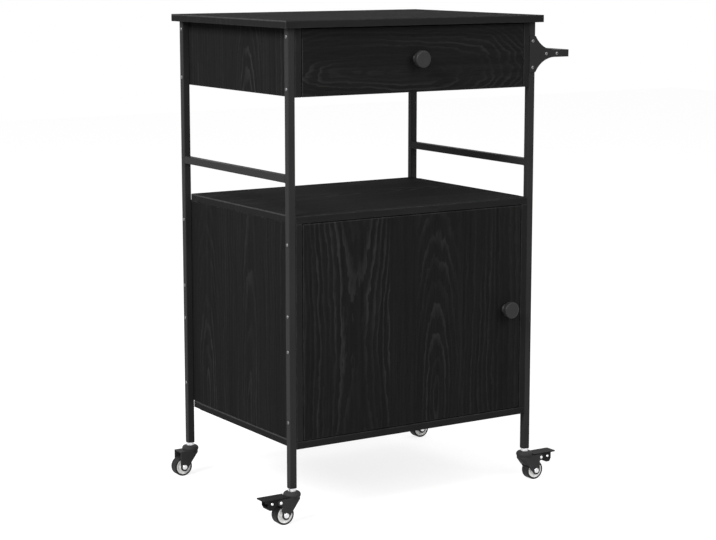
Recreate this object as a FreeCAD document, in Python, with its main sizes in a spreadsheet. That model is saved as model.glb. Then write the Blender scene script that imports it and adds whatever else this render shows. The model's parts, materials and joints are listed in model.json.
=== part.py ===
import FreeCAD, Part
import math
import os
import Sketcher
from FreeCAD import Placement, Rotation, Vector

# Kitchen cart: a worktop over one drawer, an open bay and a cabinet with one door,
# carried by four square tube legs on swivel casters, with a push handle on the right.
# Lengths are in millimetres. X runs to the right, Y to the back, Z up from the floor.

sizes = {
    # Tube frame and worktop
    "frame_width": 480.0,
    "frame_depth": 360.0,
    "worktop_height": 800.0,
    "worktop_overhang": 10.0,
    "board": 12.0,
    "edge_ease": 0.6,
    "leg_size": 12.0,
    "leg_wall": 1.2,
    "leg_corner": 1.2,
    "leg_foot": 58.5,
    "rail_rise": 52.5,
    # Drawer case and cabinet
    "case_height": 107.0,
    "shelf_height": 495.0,
    "base_height": 120.0,
    "shelf_lip": 1.5,
    "notch_length": 24.0,
    "dowel_diameter": 6.0,
    "dowel_in_face": 9.0,
    "dowel_in_edge": 11.0,
    "dowel_inset": 60.0,
    # Door
    "door_gap": 1.2,
    "pivot_inset": 13.0,
    "pivot_setback": 4.5,
    "pivot_diameter": 4.0,
    "pivot_in_door": 12.0,
    "pivot_in_board": 8.0,
    "catch_length": 46.0,
    "catch_depth": 15.0,
    "catch_height": 14.0,
    "catch_inset": 60.0,
    "strike_thickness": 1.0,
    "strike_height": 12.0,
    # Drawer
    "drawer_gap": 1.2,
    "drawer_top_gap": 1.6,
    "drawer_rear_gap": 10.0,
    "drawer_side_rise": 8.0,
    "drawer_side_height": 78.0,
    "drawer_base_rise": 4.0,
    "drawer_base_thickness": 4.0,
    "drawer_base_groove": 5.0,
    "runner_rise": 39.0,
    "runner_height": 16.0,
    "runner_depth": 6.5,
    "runner_start": 15.0,
    "runner_rear_gap": 6.0,
    # Knobs
    "knob_radius": 14.0,
    "knob_length": 21.0,
    "knob_foot_radius": 8.0,
    "knob_foot_height": 2.5,
    "knob_neck_radius": 5.8,
    "knob_neck_height": 8.0,
    "knob_disc_start": 13.0,
    "knob_disc_round": 2.2,
    "knob_bore_depth": 10.0,
    "knob_screw_diameter": 4.0,
    "drawer_knob_height": 53.5,
    "door_knob_inset": 56.0,
    # Screws
    "screw_diameter": 3.5,
    "screw_length": 19.0,
    "screw_head_radius": 2.9,
    "screw_head_height": 1.6,
    "plate_screw_length": 8.0,
    "cabinet_screw_near": 28.5,
    "cabinet_screw_far": 143.0,
    "case_screw_spread": 40.5,
    # Push handle
    "handle_drop": 65.0,
    "handle_reach": 70.0,
    "handle_size": 12.0,
    "handle_corner": 1.2,
    "plate_thickness": 1.5,
    "plate_half_height": 30.0,
    "plate_flare_run": 40.0,
    "plate_leg_screw": 22.0,
    "plate_arm_screw_near": 22.6,
    "plate_arm_screw_far": 44.8,
    # Caster sockets and stems
    "socket_flange": 1.5,
    "socket_insert": 24.0,
    "stem_radius": 3.0,
    "stem_in_socket": 20.0,
    "collar_radius": 6.8,
    "stem_rivet_radius": 5.0,
    "stem_rivet_height": 2.2,
    # Caster forks
    "fork_width": 25.0,
    "fork_wall": 1.8,
    "hood_round": 11.0,
    "cheek_round": 1.0,
    "fork_top": 44.0,
    "fork_front": 12.5,
    "hood_band": 5.0,
    "fork_front_wall_foot": 27.0,
    "fork_lobe_radius": 7.2,
    "ear_blend": 2.0,
    "hood_end": 21.9,
    "head_radius": 14.3,
    "head_rim_radius": 13.0,
    "head_rim_height": 3.3,
    "head_crown_radius": 9.5,
    "head_crown_curve": 5.2,
    "head_top": 51.5,
    # Wheels and axles
    "trail": 17.5,
    "wheel_radius": 16.5,
    "wheel_width": 17.0,
    "tyre_depth": 2.9,
    "tyre_round": 1.6,
    "rim_depth": 2.2,
    "rim_recess": 2.0,
    "hub_radius": 5.6,
    "axle_radius": 2.5,
    "axle_head_radius": 4.9,
    "axle_head_height": 1.6,
    # Wheel brakes
    "ear_radius": 5.2,
    "ear_reach": 27.5,
    "pedal_reach": 59.0,
    "pedal_root": 11.0,
    "pedal_head_gap": 0.9,
    "pedal_width": 24.0,
    "pedal_sheet": 1.6,
    "pedal_corner": 2.5,
    "pedal_gap": 0.8,
    "flange_start": 23.2,
    "flange_heel": 36.0,
    "flange_end": 50.0,
    "flange_drop": 4.6,
    "shoe_start": 40.0,
    "shoe_end": 47.0,
    "shoe_foot": 28.5,
    "shoe_height": 3.0,
    "lip_start": 50.5,
    "lip_end": 56.0,
    "lip_drop": 3.8,
    "brake_pin_radius": 2.0,
    "brake_pin_head_radius": 2.6,
    "brake_pin_head_height": 1.2,
    # Clearances
    "running_gap": 0.3,
    "fit_gap": 0.05,
    "cut_overrun": 2.0,
}

doc = FreeCAD.newDocument("kitchen_cart")
sheet = doc.addObject("Spreadsheet::Sheet", "sizes")
for row, (name, number) in enumerate(sizes.items(), start=1):
    sheet.set(f"A{row}", str(number))
    sheet.setAlias(f"A{row}", name)
doc.recompute()


# A length that remembers the sheet expression it was worked out from
class Size:
    def __init__(self, value, text):
        self.value = value
        self.text = text

    def __add__(self, other):
        return joined(self, "+", other)

    def __radd__(self, other):
        return joined(other, "+", self)

    def __sub__(self, other):
        return joined(self, "-", other)

    def __rsub__(self, other):
        return joined(other, "-", self)

    def __mul__(self, other):
        return joined(self, "*", other)

    def __rmul__(self, other):
        return joined(other, "*", self)

    def __truediv__(self, other):
        return joined(self, "/", other)

    def __neg__(self):
        return joined(-1, "*", self)


def as_size(number):
    return number if isinstance(number, Size) else Size(number, str(number))


def joined(left, sign, right):
    left = as_size(left)
    right = as_size(right)
    if sign == "+":
        value = left.value + right.value
    elif sign == "-":
        value = left.value - right.value
    elif sign == "*":
        value = left.value * right.value
    else:
        value = left.value / right.value
    return Size(value, f"({left.text} {sign} {right.text})")


def root(size):
    return Size(math.sqrt(size.value), f"sqrt({size.text})")


# Every sheet value as an attribute, such as s.leg_size
class Sheet:
    pass


s = Sheet()
for name, number in sizes.items():
    setattr(s, name, Size(number, f"sizes.{name}"))

# The origin lies on the floor under the middle of the whole cart, handle included
origin_x = (s.leg_size / 2 - s.pedal_reach + s.frame_width + s.handle_reach) / 2
origin_y = (s.frame_depth + s.worktop_overhang - s.knob_length) / 2

nodes = []
cuts = []


def bind(item, path, size):
    item.setExpression(path, as_size(size).text)


def place(item, x, y, z, turn=None):
    item.Placement = Placement(Vector(), turn or Rotation())
    bind(item, "Placement.Base.x", x - origin_x)
    bind(item, "Placement.Base.y", y - origin_y)
    bind(item, "Placement.Base.z", z)


def node(item, label):
    item.Label = label
    nodes.append(item)
    return item


def new_body(label):
    return doc.addObject("PartDesign::Body", label)


def sketch_on(body, role, offset=None):
    sketch = body.newObject("Sketcher::SketchObject", f"{body.Name}_sketch")
    plane = next(item for item in body.Origin.OriginFeatures if item.Role == role)
    sketch.AttachmentSupport = [(plane, "")]
    sketch.MapMode = "FlatFace"
    if offset is not None:
        bind(sketch, "AttachmentOffset.Base.z", offset)
    return sketch


def fix_point(sketch, shape, end, x, y):
    for kind, size, axis in (("DistanceX", as_size(x), -2), ("DistanceY", as_size(y), -1)):
        if size.text == "0":
            sketch.addConstraint(Sketcher.Constraint("PointOnObject", shape, end, axis))
        else:
            rule = Sketcher.Constraint(kind, -1, 1, shape, end, size.value)
            bind(sketch, f"Constraints[{sketch.addConstraint(rule)}]", size)


def arc_between(start, end, radius, clockwise):
    chord = end - start
    rise = math.sqrt(max(radius ** 2 - chord.Length ** 2 / 4, 0))
    aside = Vector(-chord.y, chord.x, 0).normalize() * (-rise if clockwise else rise)
    centre = (start + end) / 2 + aside
    first, last = (end, start) if clockwise else (start, end)
    angles = [math.atan2(point.y - centre.y, point.x - centre.x) for point in (first, last)]
    if angles[1] <= angles[0]:
        angles[1] += 2 * math.pi
    return Part.ArcOfCircle(Part.Circle(centre, Vector(0, 0, 1), radius), *angles)


# A closed outline through the given corners. arcs gives, for the stretch after a corner,
# the radius of an arc under a half circle and whether it runs clockwise.
def outline(sketch, corners, arcs=None):
    arcs = arcs or {}
    points = [Vector(as_size(x).value, as_size(y).value, 0) for x, y in corners]
    first = sketch.GeometryCount
    count = len(corners)
    ends = []
    for index, start in enumerate(points):
        end = points[(index + 1) % count]
        if index in arcs:
            radius, clockwise = arcs[index]
            sketch.addGeometry(arc_between(start, end, radius.value, clockwise))
            ends.append((2, 1) if clockwise else (1, 2))
        else:
            sketch.addGeometry(Part.LineSegment(start, end))
            ends.append((1, 2))
    for index in range(count):
        after = (index + 1) % count
        rule = ("Coincident", first + index, ends[index][1], first + after, ends[after][0])
        sketch.addConstraint(Sketcher.Constraint(*rule))
    for index, (x, y) in enumerate(corners):
        fix_point(sketch, first + index, ends[index][0], x, y)
    for index, (radius, clockwise) in arcs.items():
        rule = Sketcher.Constraint("Radius", first + index, radius.value)
        bind(sketch, f"Constraints[{sketch.addConstraint(rule)}]", radius)


def rectangle(sketch, left, low, right, high):
    outline(sketch, [(left, low), (right, low), (right, high), (left, high)])


def rounded_square(sketch, half, corner):
    flat = half - corner
    corners = [(-flat, -half), (flat, -half), (half, -flat), (half, flat)]
    corners += [(flat, half), (-flat, half), (-half, flat), (-half, -flat)]
    outline(sketch, corners, {index: (corner, False) for index in (1, 3, 5, 7)})


def circles(sketch, centres, radius):
    for x, y in centres:
        spot = Vector(as_size(x).value, as_size(y).value, 0)
        shape = sketch.addGeometry(Part.Circle(spot, Vector(0, 0, 1), radius.value))
        fix_point(sketch, shape, 3, x, y)
        rule = Sketcher.Constraint("Radius", shape, radius.value)
        bind(sketch, f"Constraints[{sketch.addConstraint(rule)}]", radius)


def pad(body, sketch, length, both_ways=False):
    feature = body.newObject("PartDesign::Pad", f"{body.Name}_pad")
    feature.Profile = sketch
    bind(feature, "Length", length)
    feature.SideType = "Symmetric" if both_ways else "One side"
    sketch.Visibility = False
    return feature


def pocket(body, sketch, depth=None, both_ways=False, reverse=False):
    feature = body.newObject("PartDesign::Pocket", f"{body.Name}_pocket")
    feature.Profile = sketch
    feature.SideType = "Symmetric" if both_ways else "One side"
    feature.Reversed = reverse
    if depth is None:
        feature.Type = "ThroughAll"
    else:
        bind(feature, "Length", depth)
    cuts.append(feature)
    return feature


def drill(body, role, centres, radius, depth=None, offset=None, reverse=False):
    sketch = sketch_on(body, role, offset)
    circles(sketch, centres, radius)
    return pocket(body, sketch, depth, both_ways=depth is None, reverse=reverse)


def revolve(body, role, corners, arcs=None):
    sketch = sketch_on(body, role)
    outline(sketch, corners, arcs)
    feature = body.newObject("PartDesign::Revolution", f"{body.Name}_turned")
    feature.Profile = sketch
    feature.ReferenceAxis = (sketch, ["V_Axis"])
    feature.Angle = 360
    return feature


# A straight-sided loft between two outlines, added to the body or taken from it
def loft(body, first, last, hollow=False):
    kind = "SubtractiveLoft" if hollow else "AdditiveLoft"
    feature = body.newObject(f"PartDesign::{kind}", f"{body.Name}_loft")
    feature.Profile = (first, [""])
    feature.Sections = [(last, [""])]
    feature.Ruled = True
    if hollow:
        cuts.append(feature)
    return feature


def faces_across(shape, axis):
    names = []
    for index, face in enumerate(shape.Faces, start=1):
        flat = isinstance(face.Surface, Part.Plane)
        if flat and abs(face.Surface.Axis.dot(axis)) > 1 - 1e-6:
            names.append(f"Face{index}")
    return names


def ease(body, feature, size, axis=None):
    doc.recompute()
    eased = body.newObject("PartDesign::Chamfer", f"{body.Name}_eased")
    eased.Base = (feature, faces_across(feature.Shape, axis) if axis else ["Face1"])
    eased.UseAllEdges = axis is None
    bind(eased, "Size", size)
    doc.recompute()


# A plain board with eased edges, from its lowest corner
def board(label, corner, spans):
    body = new_body(label)
    blank = body.newObject("PartDesign::AdditiveBox", f"{label}_blank")
    for side, span in zip(("Length", "Width", "Height"), spans):
        bind(blank, side, span)
    ease(body, blank, s.edge_ease)
    place(body, *corner)
    return node(body, label)


# Separate copies of one form at several places, kept as one node
def group(label, form, spots):
    doc.recompute()
    solids = []
    for x, y, z, turn in spots:
        where = Vector((x - origin_x).value, (y - origin_y).value, as_size(z).value)
        solid = form.Shape.copy()
        solid.Placement = Placement(where, turn)
        solids.append(solid)
    item = doc.addObject("Part::Feature", label)
    item.Shape = Part.makeCompound(solids)
    return node(item, label)


upright = Rotation()
half_turn = Rotation(Vector(0, 0, 1), 180)


def facing(x, y):
    return Rotation(Vector(0, 0, 1), Vector(x, y, 0))


# Levels and faces that several pieces share
case_top = s.worktop_height - s.board
case_low = case_top - s.case_height
case_middle = case_low + s.case_height / 2
shelf_low = s.shelf_height - s.board
base_top = s.base_height + s.board
cabinet_middle = (shelf_low + base_top) / 2
boards_back = s.frame_depth - s.leg_size
back_panel_y = boards_back - s.board
drawer_length = back_panel_y - s.drawer_rear_gap - s.board
runner_length = back_panel_y - s.runner_rear_gap - s.runner_start
rail_height = s.shelf_height + s.rail_rise
handle_height = s.worktop_height - s.handle_drop
inner_left = s.leg_size + s.board
inner_right = s.frame_width - inner_left
inner_width = inner_right - inner_left
leg_middle = s.leg_size / 2
right_leg_middle = s.frame_width - leg_middle
back_leg_middle = s.frame_depth - leg_middle
screw_hole = s.screw_diameter / 2
cabinet_screw_heights = [
    cabinet_middle - s.cabinet_screw_far,
    cabinet_middle - s.cabinet_screw_near,
    cabinet_middle + s.cabinet_screw_near,
    cabinet_middle + s.cabinet_screw_far,
]
case_screw_heights = [case_middle - s.case_screw_spread, case_middle + s.case_screw_spread]
leg_spots = {
    "front_left": (leg_middle, leg_middle),
    "front_right": (right_leg_middle, leg_middle),
    "back_left": (leg_middle, back_leg_middle),
    "back_right": (right_leg_middle, back_leg_middle),
}


# Legs: square tubes drilled for the panel screws and, on the right, for the handle plates
def leg(label, x, y, plate_side):
    body = new_body(label)
    sketch = sketch_on(body, "XY_Plane")
    rounded_square(sketch, s.leg_size / 2, s.leg_corner)
    bore = s.leg_size / 2 - s.leg_wall
    rectangle(sketch, -bore, -bore, bore, bore)
    pad(body, sketch, case_top - s.leg_foot)
    panel_holes = [(0, z - s.leg_foot) for z in cabinet_screw_heights + case_screw_heights]
    drill(body, "YZ_Plane", panel_holes, screw_hole)
    if plate_side:
        spread = s.plate_leg_screw
        middle = handle_height - s.leg_foot
        plate_holes = [(0, middle - spread), (0, middle + spread)]
        depth = s.leg_size / 2 + s.cut_overrun
        drill(body, "XZ_Plane", plate_holes, screw_hole, depth, reverse=plate_side == "front")
    place(body, x, y, s.leg_foot)
    return node(body, label)


for corner, (x, y) in leg_spots.items():
    end, side = corner.split("_")
    leg(f"{corner}_leg", x, y, end if side == "right" else None)


# Open side rails between the legs, level with the open bay
def side_rail(label, x):
    body = new_body(label)
    sketch = sketch_on(body, "XZ_Plane")
    rounded_square(sketch, s.leg_size / 2, s.leg_corner)
    bore = s.leg_size / 2 - s.leg_wall
    rectangle(sketch, -bore, -bore, bore, bore)
    pad(body, sketch, s.frame_depth - 2 * s.leg_size, both_ways=True)
    place(body, x, s.frame_depth / 2, rail_height + leg_middle)
    return node(body, label)


side_rail("left_side_rail", leg_middle)
side_rail("right_side_rail", right_leg_middle)

# Worktop, dowelled to the drawer case
dowel_hole = s.dowel_diameter / 2
dowel_rows = [s.dowel_inset, boards_back - s.dowel_inset]
panel_middles = [s.leg_size + s.board / 2, s.frame_width - s.leg_size - s.board / 2]
worktop = board(
    "worktop",
    (-s.worktop_overhang, -s.worktop_overhang, case_top),
    (
        s.frame_width + 2 * s.worktop_overhang,
        s.frame_depth + 2 * s.worktop_overhang,
        s.board,
    ),
)
worktop_holes = [
    (x + s.worktop_overhang, y + s.worktop_overhang) for x in panel_middles for y in dowel_rows
]
drill(worktop, "XY_Plane", worktop_holes, dowel_hole, s.dowel_in_face, reverse=True)


# Side panels of the drawer case and of the cabinet, drilled for the leg screws and dowels
def side_panel(label, left, low, height, screw_heights, dowels_below):
    x = s.leg_size if left else inner_right
    panel = board(label, (x, 0, low), (s.board, s.frame_depth, height))
    pilots = [(y, z - low) for y in (leg_middle, back_leg_middle) for z in screw_heights]
    pilot_depth = s.screw_length - s.leg_size
    face = as_size(0) if left else s.board
    drill(panel, "YZ_Plane", pilots, screw_hole, pilot_depth, offset=face, reverse=left)
    dowels = [(s.board / 2, y) for y in dowel_rows]
    drill(panel, "XY_Plane", dowels, dowel_hole, s.dowel_in_edge, offset=height)
    if dowels_below:
        drill(panel, "XY_Plane", dowels, dowel_hole, s.dowel_in_edge, reverse=True)
    return panel


cabinet_height = shelf_low - base_top
for side in ("left", "right"):
    side_panel(
        f"{side}_case_panel",
        side == "left",
        case_low,
        s.case_height,
        case_screw_heights,
        dowels_below=False,
    )
    side_panel(
        f"{side}_cabinet_panel",
        side == "left",
        base_top,
        cabinet_height,
        cabinet_screw_heights,
        dowels_below=True,
    )
board("case_back_panel", (inner_left, back_panel_y, case_low), (inner_width, s.board, s.case_height))
board(
    "cabinet_back_panel",
    (inner_left, back_panel_y, base_top),
    (inner_width, s.board, cabinet_height),
)

# Shelf and base of the cabinet: their side edges stand a lip past the side panels, and
# the corners are notched back to let the legs lie against the panels
door_left = inner_left + s.door_gap
pivot_x = door_left + s.pivot_inset
shelf_left = s.leg_size - s.shelf_lip


def notched_board(label, low, dowels_above):
    body = new_body(label)
    sketch = sketch_on(body, "XY_Plane")
    wide = s.frame_width - 2 * shelf_left
    deep = boards_back
    lip = s.shelf_lip
    notch = s.notch_length
    corners = [(lip, 0), (wide - lip, 0), (wide - lip, notch), (wide, notch)]
    corners += [(wide, deep - notch), (wide - lip, deep - notch), (wide - lip, deep), (lip, deep)]
    corners += [(lip, deep - notch), (0, deep - notch), (0, notch), (lip, notch)]
    outline(sketch, corners)
    blank = pad(body, sketch, s.board)
    ease(body, blank, s.edge_ease, axis=Vector(0, 0, 1))
    dowels = [(x - shelf_left, y) for x in panel_middles for y in dowel_rows]
    face = s.board if dowels_above else as_size(0)
    under = not dowels_above
    drill(body, "XY_Plane", dowels, dowel_hole, s.dowel_in_face, offset=face, reverse=under)
    pivot = [(pivot_x - shelf_left, s.pivot_setback)]
    pivot_hole = s.pivot_diameter / 2 + s.fit_gap
    drill(body, "XY_Plane", pivot, pivot_hole, s.pivot_in_board, offset=face, reverse=under)
    place(body, shelf_left, 0, low)
    return node(body, label)


notched_board("cabinet_shelf", shelf_low, dowels_above=False)
notched_board("cabinet_base", s.base_height, dowels_above=True)

# Dowels between the side panels and the boards above and below them
dowel_form = doc.addObject("Part::Cylinder", "dowel_form")
bind(dowel_form, "Radius", dowel_hole)
bind(dowel_form, "Height", s.dowel_in_face + s.dowel_in_edge)
dowel_feet = [
    case_top - s.dowel_in_edge,
    shelf_low - s.dowel_in_edge,
    base_top - s.dowel_in_face,
]
dowel_spots = [(x, y, z, upright) for x in panel_middles for y in dowel_rows for z in dowel_feet]
group("panel_dowels", dowel_form, dowel_spots)


# Pan head screw standing on the origin, with its shank pointing down
def screw_form(label, length):
    body = new_body(label)
    shank = s.screw_diameter / 2
    head = s.screw_head_radius
    crown_share = 0.62
    rim_share = 0.3
    corners = [
        (0, -length),
        (shank, shank - length),
        (shank, 0),
        (head, 0),
        (head, s.screw_head_height * rim_share),
        (head * crown_share, s.screw_head_height),
        (0, s.screw_head_height),
    ]
    revolve(body, "XZ_Plane", corners)
    return body


panel_screw = screw_form("panel_screw_form", s.screw_length)
screw_spots = []
for x, outward in ((as_size(0), -1), (s.frame_width, 1)):
    for y in (leg_middle, back_leg_middle):
        for z in cabinet_screw_heights + case_screw_heights:
            screw_spots.append((x, y, z, facing(outward, 0)))
group("frame_screws", panel_screw, screw_spots)

# Push handle: a mitred U of square tube against the outer faces of the right legs
handle = new_body("handle_bar")
for inset, thickness in ((as_size(0), s.handle_size), (s.leg_wall, s.handle_size - 2 * s.leg_wall)):
    sketch = sketch_on(handle, "XY_Plane")
    reach = s.handle_reach - inset
    near = s.handle_reach - s.handle_size + inset
    front = inset
    back = s.frame_depth - inset
    front_inner = s.handle_size - inset
    back_inner = s.frame_depth - s.handle_size + inset
    corners = [(0, front), (reach, front), (reach, back), (0, back)]
    corners += [(0, back_inner), (near, back_inner), (near, front_inner), (0, front_inner)]
    outline(sketch, corners)
    if thickness is s.handle_size:
        bar = pad(handle, sketch, thickness, both_ways=True)
        ease(handle, bar, s.handle_corner / 2, axis=Vector(0, 0, 1))
    else:
        pocket(handle, sketch, thickness, both_ways=True)
arm_screws = [(s.plate_arm_screw_near, 0), (s.plate_arm_screw_far, 0)]
arm_depth = s.leg_wall + s.cut_overrun
drill(handle, "XZ_Plane", arm_screws, screw_hole, arm_depth)
back_face = -s.frame_depth
drill(handle, "XZ_Plane", arm_screws, screw_hole, arm_depth, offset=back_face, reverse=True)
place(handle, s.frame_width, 0, handle_height)
node(handle, "handle_bar")

# Flared plates that tie the handle's arms to the legs: concave arcs run from the leg
# into the arm's edges
flare_rise = s.plate_half_height - s.handle_size / 2
flare_radius = (s.plate_flare_run * s.plate_flare_run + flare_rise * flare_rise) / (2 * flare_rise)


def handle_plate(label, y):
    body = new_body(label)
    sketch = sketch_on(body, "XZ_Plane")
    tall = s.plate_half_height
    slim = s.handle_size / 2
    run = s.plate_flare_run
    reach = s.handle_reach
    inner = -s.leg_size
    corners = [(inner, -tall), (0, -tall), (run, -slim), (reach, -slim)]
    corners += [(reach, slim), (run, slim), (0, tall), (inner, tall)]
    outline(sketch, corners, {1: (flare_radius, True), 5: (flare_radius, True)})
    pad(body, sketch, s.plate_thickness)
    spread = s.plate_leg_screw
    holes = [(inner / 2, -spread), (inner / 2, spread)] + arm_screws
    drill(body, "XZ_Plane", holes, screw_hole)
    place(body, s.frame_width, y, handle_height)
    return node(body, label)


handle_plate("front_handle_plate", as_size(0))
handle_plate("back_handle_plate", s.frame_depth + s.plate_thickness)
plate_screw = screw_form("plate_screw_form", s.plate_screw_length)
plate_spots = []
for y, outward in ((-s.plate_thickness, -1), (s.frame_depth + s.plate_thickness, 1)):
    turn = facing(0, outward)
    for lift in (-s.plate_leg_screw, s.plate_leg_screw):
        plate_spots.append((right_leg_middle, y, handle_height + lift, turn))
    for reach in (s.plate_arm_screw_near, s.plate_arm_screw_far):
        plate_spots.append((s.frame_width + reach, y, handle_height, turn))
group("handle_screws", plate_screw, plate_spots)


# Knobs: a flat disc on a waisted neck, turned about the axis that points to the front
def knob(label, x, z):
    body = new_body(label)
    bore = s.knob_screw_diameter / 2
    round_off = s.knob_disc_round
    corners = [
        (bore, 0),
        (s.knob_foot_radius, 0),
        (s.knob_foot_radius, -s.knob_foot_height),
        (s.knob_neck_radius, -s.knob_neck_height),
        (s.knob_radius, -s.knob_disc_start),
        (s.knob_radius, round_off - s.knob_length),
        (s.knob_radius - round_off, -s.knob_length),
        (0, -s.knob_length),
        (0, -s.knob_bore_depth),
        (bore, -s.knob_bore_depth),
    ]
    revolve(body, "XY_Plane", corners, {5: (round_off, True)})
    place(body, x, 0, z)
    return node(body, label)


# Screw that holds a knob from behind its board
def knob_screw(label, x, z):
    body = new_body(label)
    shank = s.knob_screw_diameter / 2
    head = s.screw_head_radius
    corners = [
        (0, -s.knob_bore_depth),
        (shank, -s.knob_bore_depth),
        (shank, s.board),
        (head, s.board),
        (head, s.board + s.screw_head_height),
        (0, s.board + s.screw_head_height),
    ]
    revolve(body, "XY_Plane", corners)
    place(body, x, 0, z)
    return node(body, label)


# Drawer: the front closes the case, and the box behind it hangs on two runner strips
front_left = inner_left + s.drawer_gap
front_width = inner_width - 2 * s.drawer_gap
drawer_knob_x = s.frame_width / 2
drawer_knob_z = case_low + s.drawer_knob_height
drawer_front = board(
    "drawer_front",
    (front_left, 0, case_low),
    (front_width, s.board, s.case_height - s.drawer_top_gap),
)
knob_hole = s.knob_screw_diameter / 2
drill(drawer_front, "XZ_Plane", [(front_width / 2, s.drawer_knob_height)], knob_hole)
knob("drawer_knob", drawer_knob_x, drawer_knob_z)
knob_screw("drawer_knob_screw", drawer_knob_x, drawer_knob_z)

drawer_low = case_low + s.drawer_side_rise
groove_low = s.runner_rise - s.runner_height / 2
groove_high = s.runner_rise + s.runner_height / 2


# A drawer side is one profile along its length: the runner's groove outside, the base's inside
def drawer_side(label, x, turn):
    body = new_body(label)
    sketch = sketch_on(body, "XZ_Plane")
    base_low = s.drawer_base_rise
    base_high = base_low + s.drawer_base_thickness
    floor_groove = s.board - s.drawer_base_groove
    corners = [(0, 0), (s.board, 0), (s.board, base_low), (floor_groove, base_low)]
    corners += [(floor_groove, base_high), (s.board, base_high), (s.board, s.drawer_side_height)]
    corners += [(0, s.drawer_side_height), (0, groove_high), (s.runner_depth, groove_high)]
    corners += [(s.runner_depth, groove_low), (0, groove_low)]
    outline(sketch, corners)
    pad(body, sketch, drawer_length, both_ways=True)
    place(body, x, s.board + drawer_length / 2, drawer_low, turn)
    return node(body, label)


drawer_side("drawer_left_side", front_left, upright)
drawer_side("drawer_right_side", front_left + front_width, half_turn)
drawer_inner_left = front_left + s.board
drawer_inner_width = front_width - 2 * s.board
drawer_floor = drawer_low + s.drawer_base_rise
drawer_back_rise = s.drawer_base_rise + s.drawer_base_thickness
board(
    "drawer_back",
    (drawer_inner_left, drawer_length, drawer_low + drawer_back_rise),
    (drawer_inner_width, s.board, s.drawer_side_height - drawer_back_rise),
)
drawer_base = doc.addObject("Part::Box", "drawer_base")
bind(drawer_base, "Length", drawer_inner_width + 2 * s.drawer_base_groove)
bind(drawer_base, "Width", drawer_length)
bind(drawer_base, "Height", s.drawer_base_thickness)
place(drawer_base, drawer_inner_left - s.drawer_base_groove, s.board, drawer_floor)
node(drawer_base, "drawer_base")


# Runner strips on the case panels, sitting in the grooves of the drawer sides
def runner(label, left):
    deep = s.drawer_gap + s.runner_depth - s.running_gap
    low = drawer_low + groove_low + s.running_gap
    x = inner_left if left else inner_right - deep
    strip = (deep, runner_length, s.runner_height - 2 * s.running_gap)
    return board(label, (x, s.runner_start, low), strip)


runner("left_drawer_runner", True)
runner("right_drawer_runner", False)

# Door: inset between the side panels, turning on two pins near its left edge
door_width = inner_width - 2 * s.door_gap
door_low = base_top + s.door_gap
door_height = cabinet_height - 2 * s.door_gap
door_knob_x = s.frame_width - s.door_knob_inset
door = board("door_panel", (door_left, 0, door_low), (door_width, s.board, door_height))
drill(door, "XZ_Plane", [(door_knob_x - door_left, door_height / 2)], knob_hole)
pivot_spot = [(s.pivot_inset, s.pivot_setback)]
pin_radius = s.pivot_diameter / 2
drill(door, "XY_Plane", pivot_spot, pin_radius, s.pivot_in_door, offset=door_height)
drill(door, "XY_Plane", pivot_spot, pin_radius, s.pivot_in_door, reverse=True)
knob("door_knob", door_knob_x, cabinet_middle)
knob_screw("door_knob_screw", door_knob_x, cabinet_middle)
pin_form = doc.addObject("Part::Cylinder", "pivot_pin_form")
bind(pin_form, "Radius", pin_radius)
pin_length = s.pivot_in_door + s.door_gap + s.pivot_in_board - s.running_gap
bind(pin_form, "Height", pin_length)
pin_feet = [
    base_top - s.pivot_in_board + s.running_gap,
    shelf_low + s.pivot_in_board - s.running_gap - pin_length,
]
group("door_pivot_pins", pin_form, [(pivot_x, s.pivot_setback, z, upright) for z in pin_feet])

# Magnet catch under the shelf, and the steel strike on the back of the door
catch_left = inner_right - s.catch_inset - s.catch_length
strike_back = s.board + s.strike_thickness
board(
    "door_catch",
    (catch_left, strike_back + s.running_gap, shelf_low - s.catch_height),
    (s.catch_length, s.catch_depth, s.catch_height),
)
strike = doc.addObject("Part::Box", "door_strike")
bind(strike, "Length", s.catch_length)
bind(strike, "Width", s.strike_thickness)
bind(strike, "Height", s.strike_height)
place(strike, catch_left, s.board, shelf_low - s.catch_height)
node(strike, "door_strike")

# Sockets in the leg ends, and the stems that the caster forks turn on
socket = new_body("socket_form")
sketch = sketch_on(socket, "XY_Plane", -s.socket_flange)
rounded_square(sketch, s.leg_size / 2, s.leg_corner)
pad(socket, sketch, s.socket_flange)
sketch = sketch_on(socket, "XY_Plane")
plug = s.leg_size / 2 - s.leg_wall
rectangle(sketch, -plug, -plug, plug, plug)
pad(socket, sketch, s.socket_insert)
stem_reach = s.stem_in_socket - s.socket_flange
drill(socket, "XY_Plane", [(0, 0)], s.stem_radius, s.stem_in_socket, stem_reach)
socket_spots = [(x, y, s.leg_foot, upright) for x, y in leg_spots.values()]
group("leg_sockets", socket, socket_spots)

fork_ceiling = s.fork_top - s.fork_wall
collar_top = s.leg_foot - s.socket_flange
stem = new_body("stem_form")
rivet_top = fork_ceiling - s.running_gap
stem_corners = [
    (0, rivet_top - s.stem_rivet_height),
    (s.stem_rivet_radius, rivet_top - s.stem_rivet_height),
    (s.stem_rivet_radius, rivet_top),
    (s.stem_radius, rivet_top),
    (s.stem_radius, s.head_top + s.running_gap),
    (s.collar_radius, s.head_top + s.running_gap),
    (s.collar_radius, collar_top),
    (s.stem_radius, collar_top),
    (s.stem_radius, s.leg_foot + stem_reach),
    (0, s.leg_foot + stem_reach),
]
revolve(stem, "XZ_Plane", stem_corners)
group("caster_stems", stem, [(x, y, 0, upright) for x, y in leg_spots.values()])

# Caster forks: a pressed hood and two cheeks that hang from a domed swivel head. The
# wheel trails behind the swivel axis, here towards -X
fork_inner_width = s.fork_width - 2 * s.fork_wall
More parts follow.
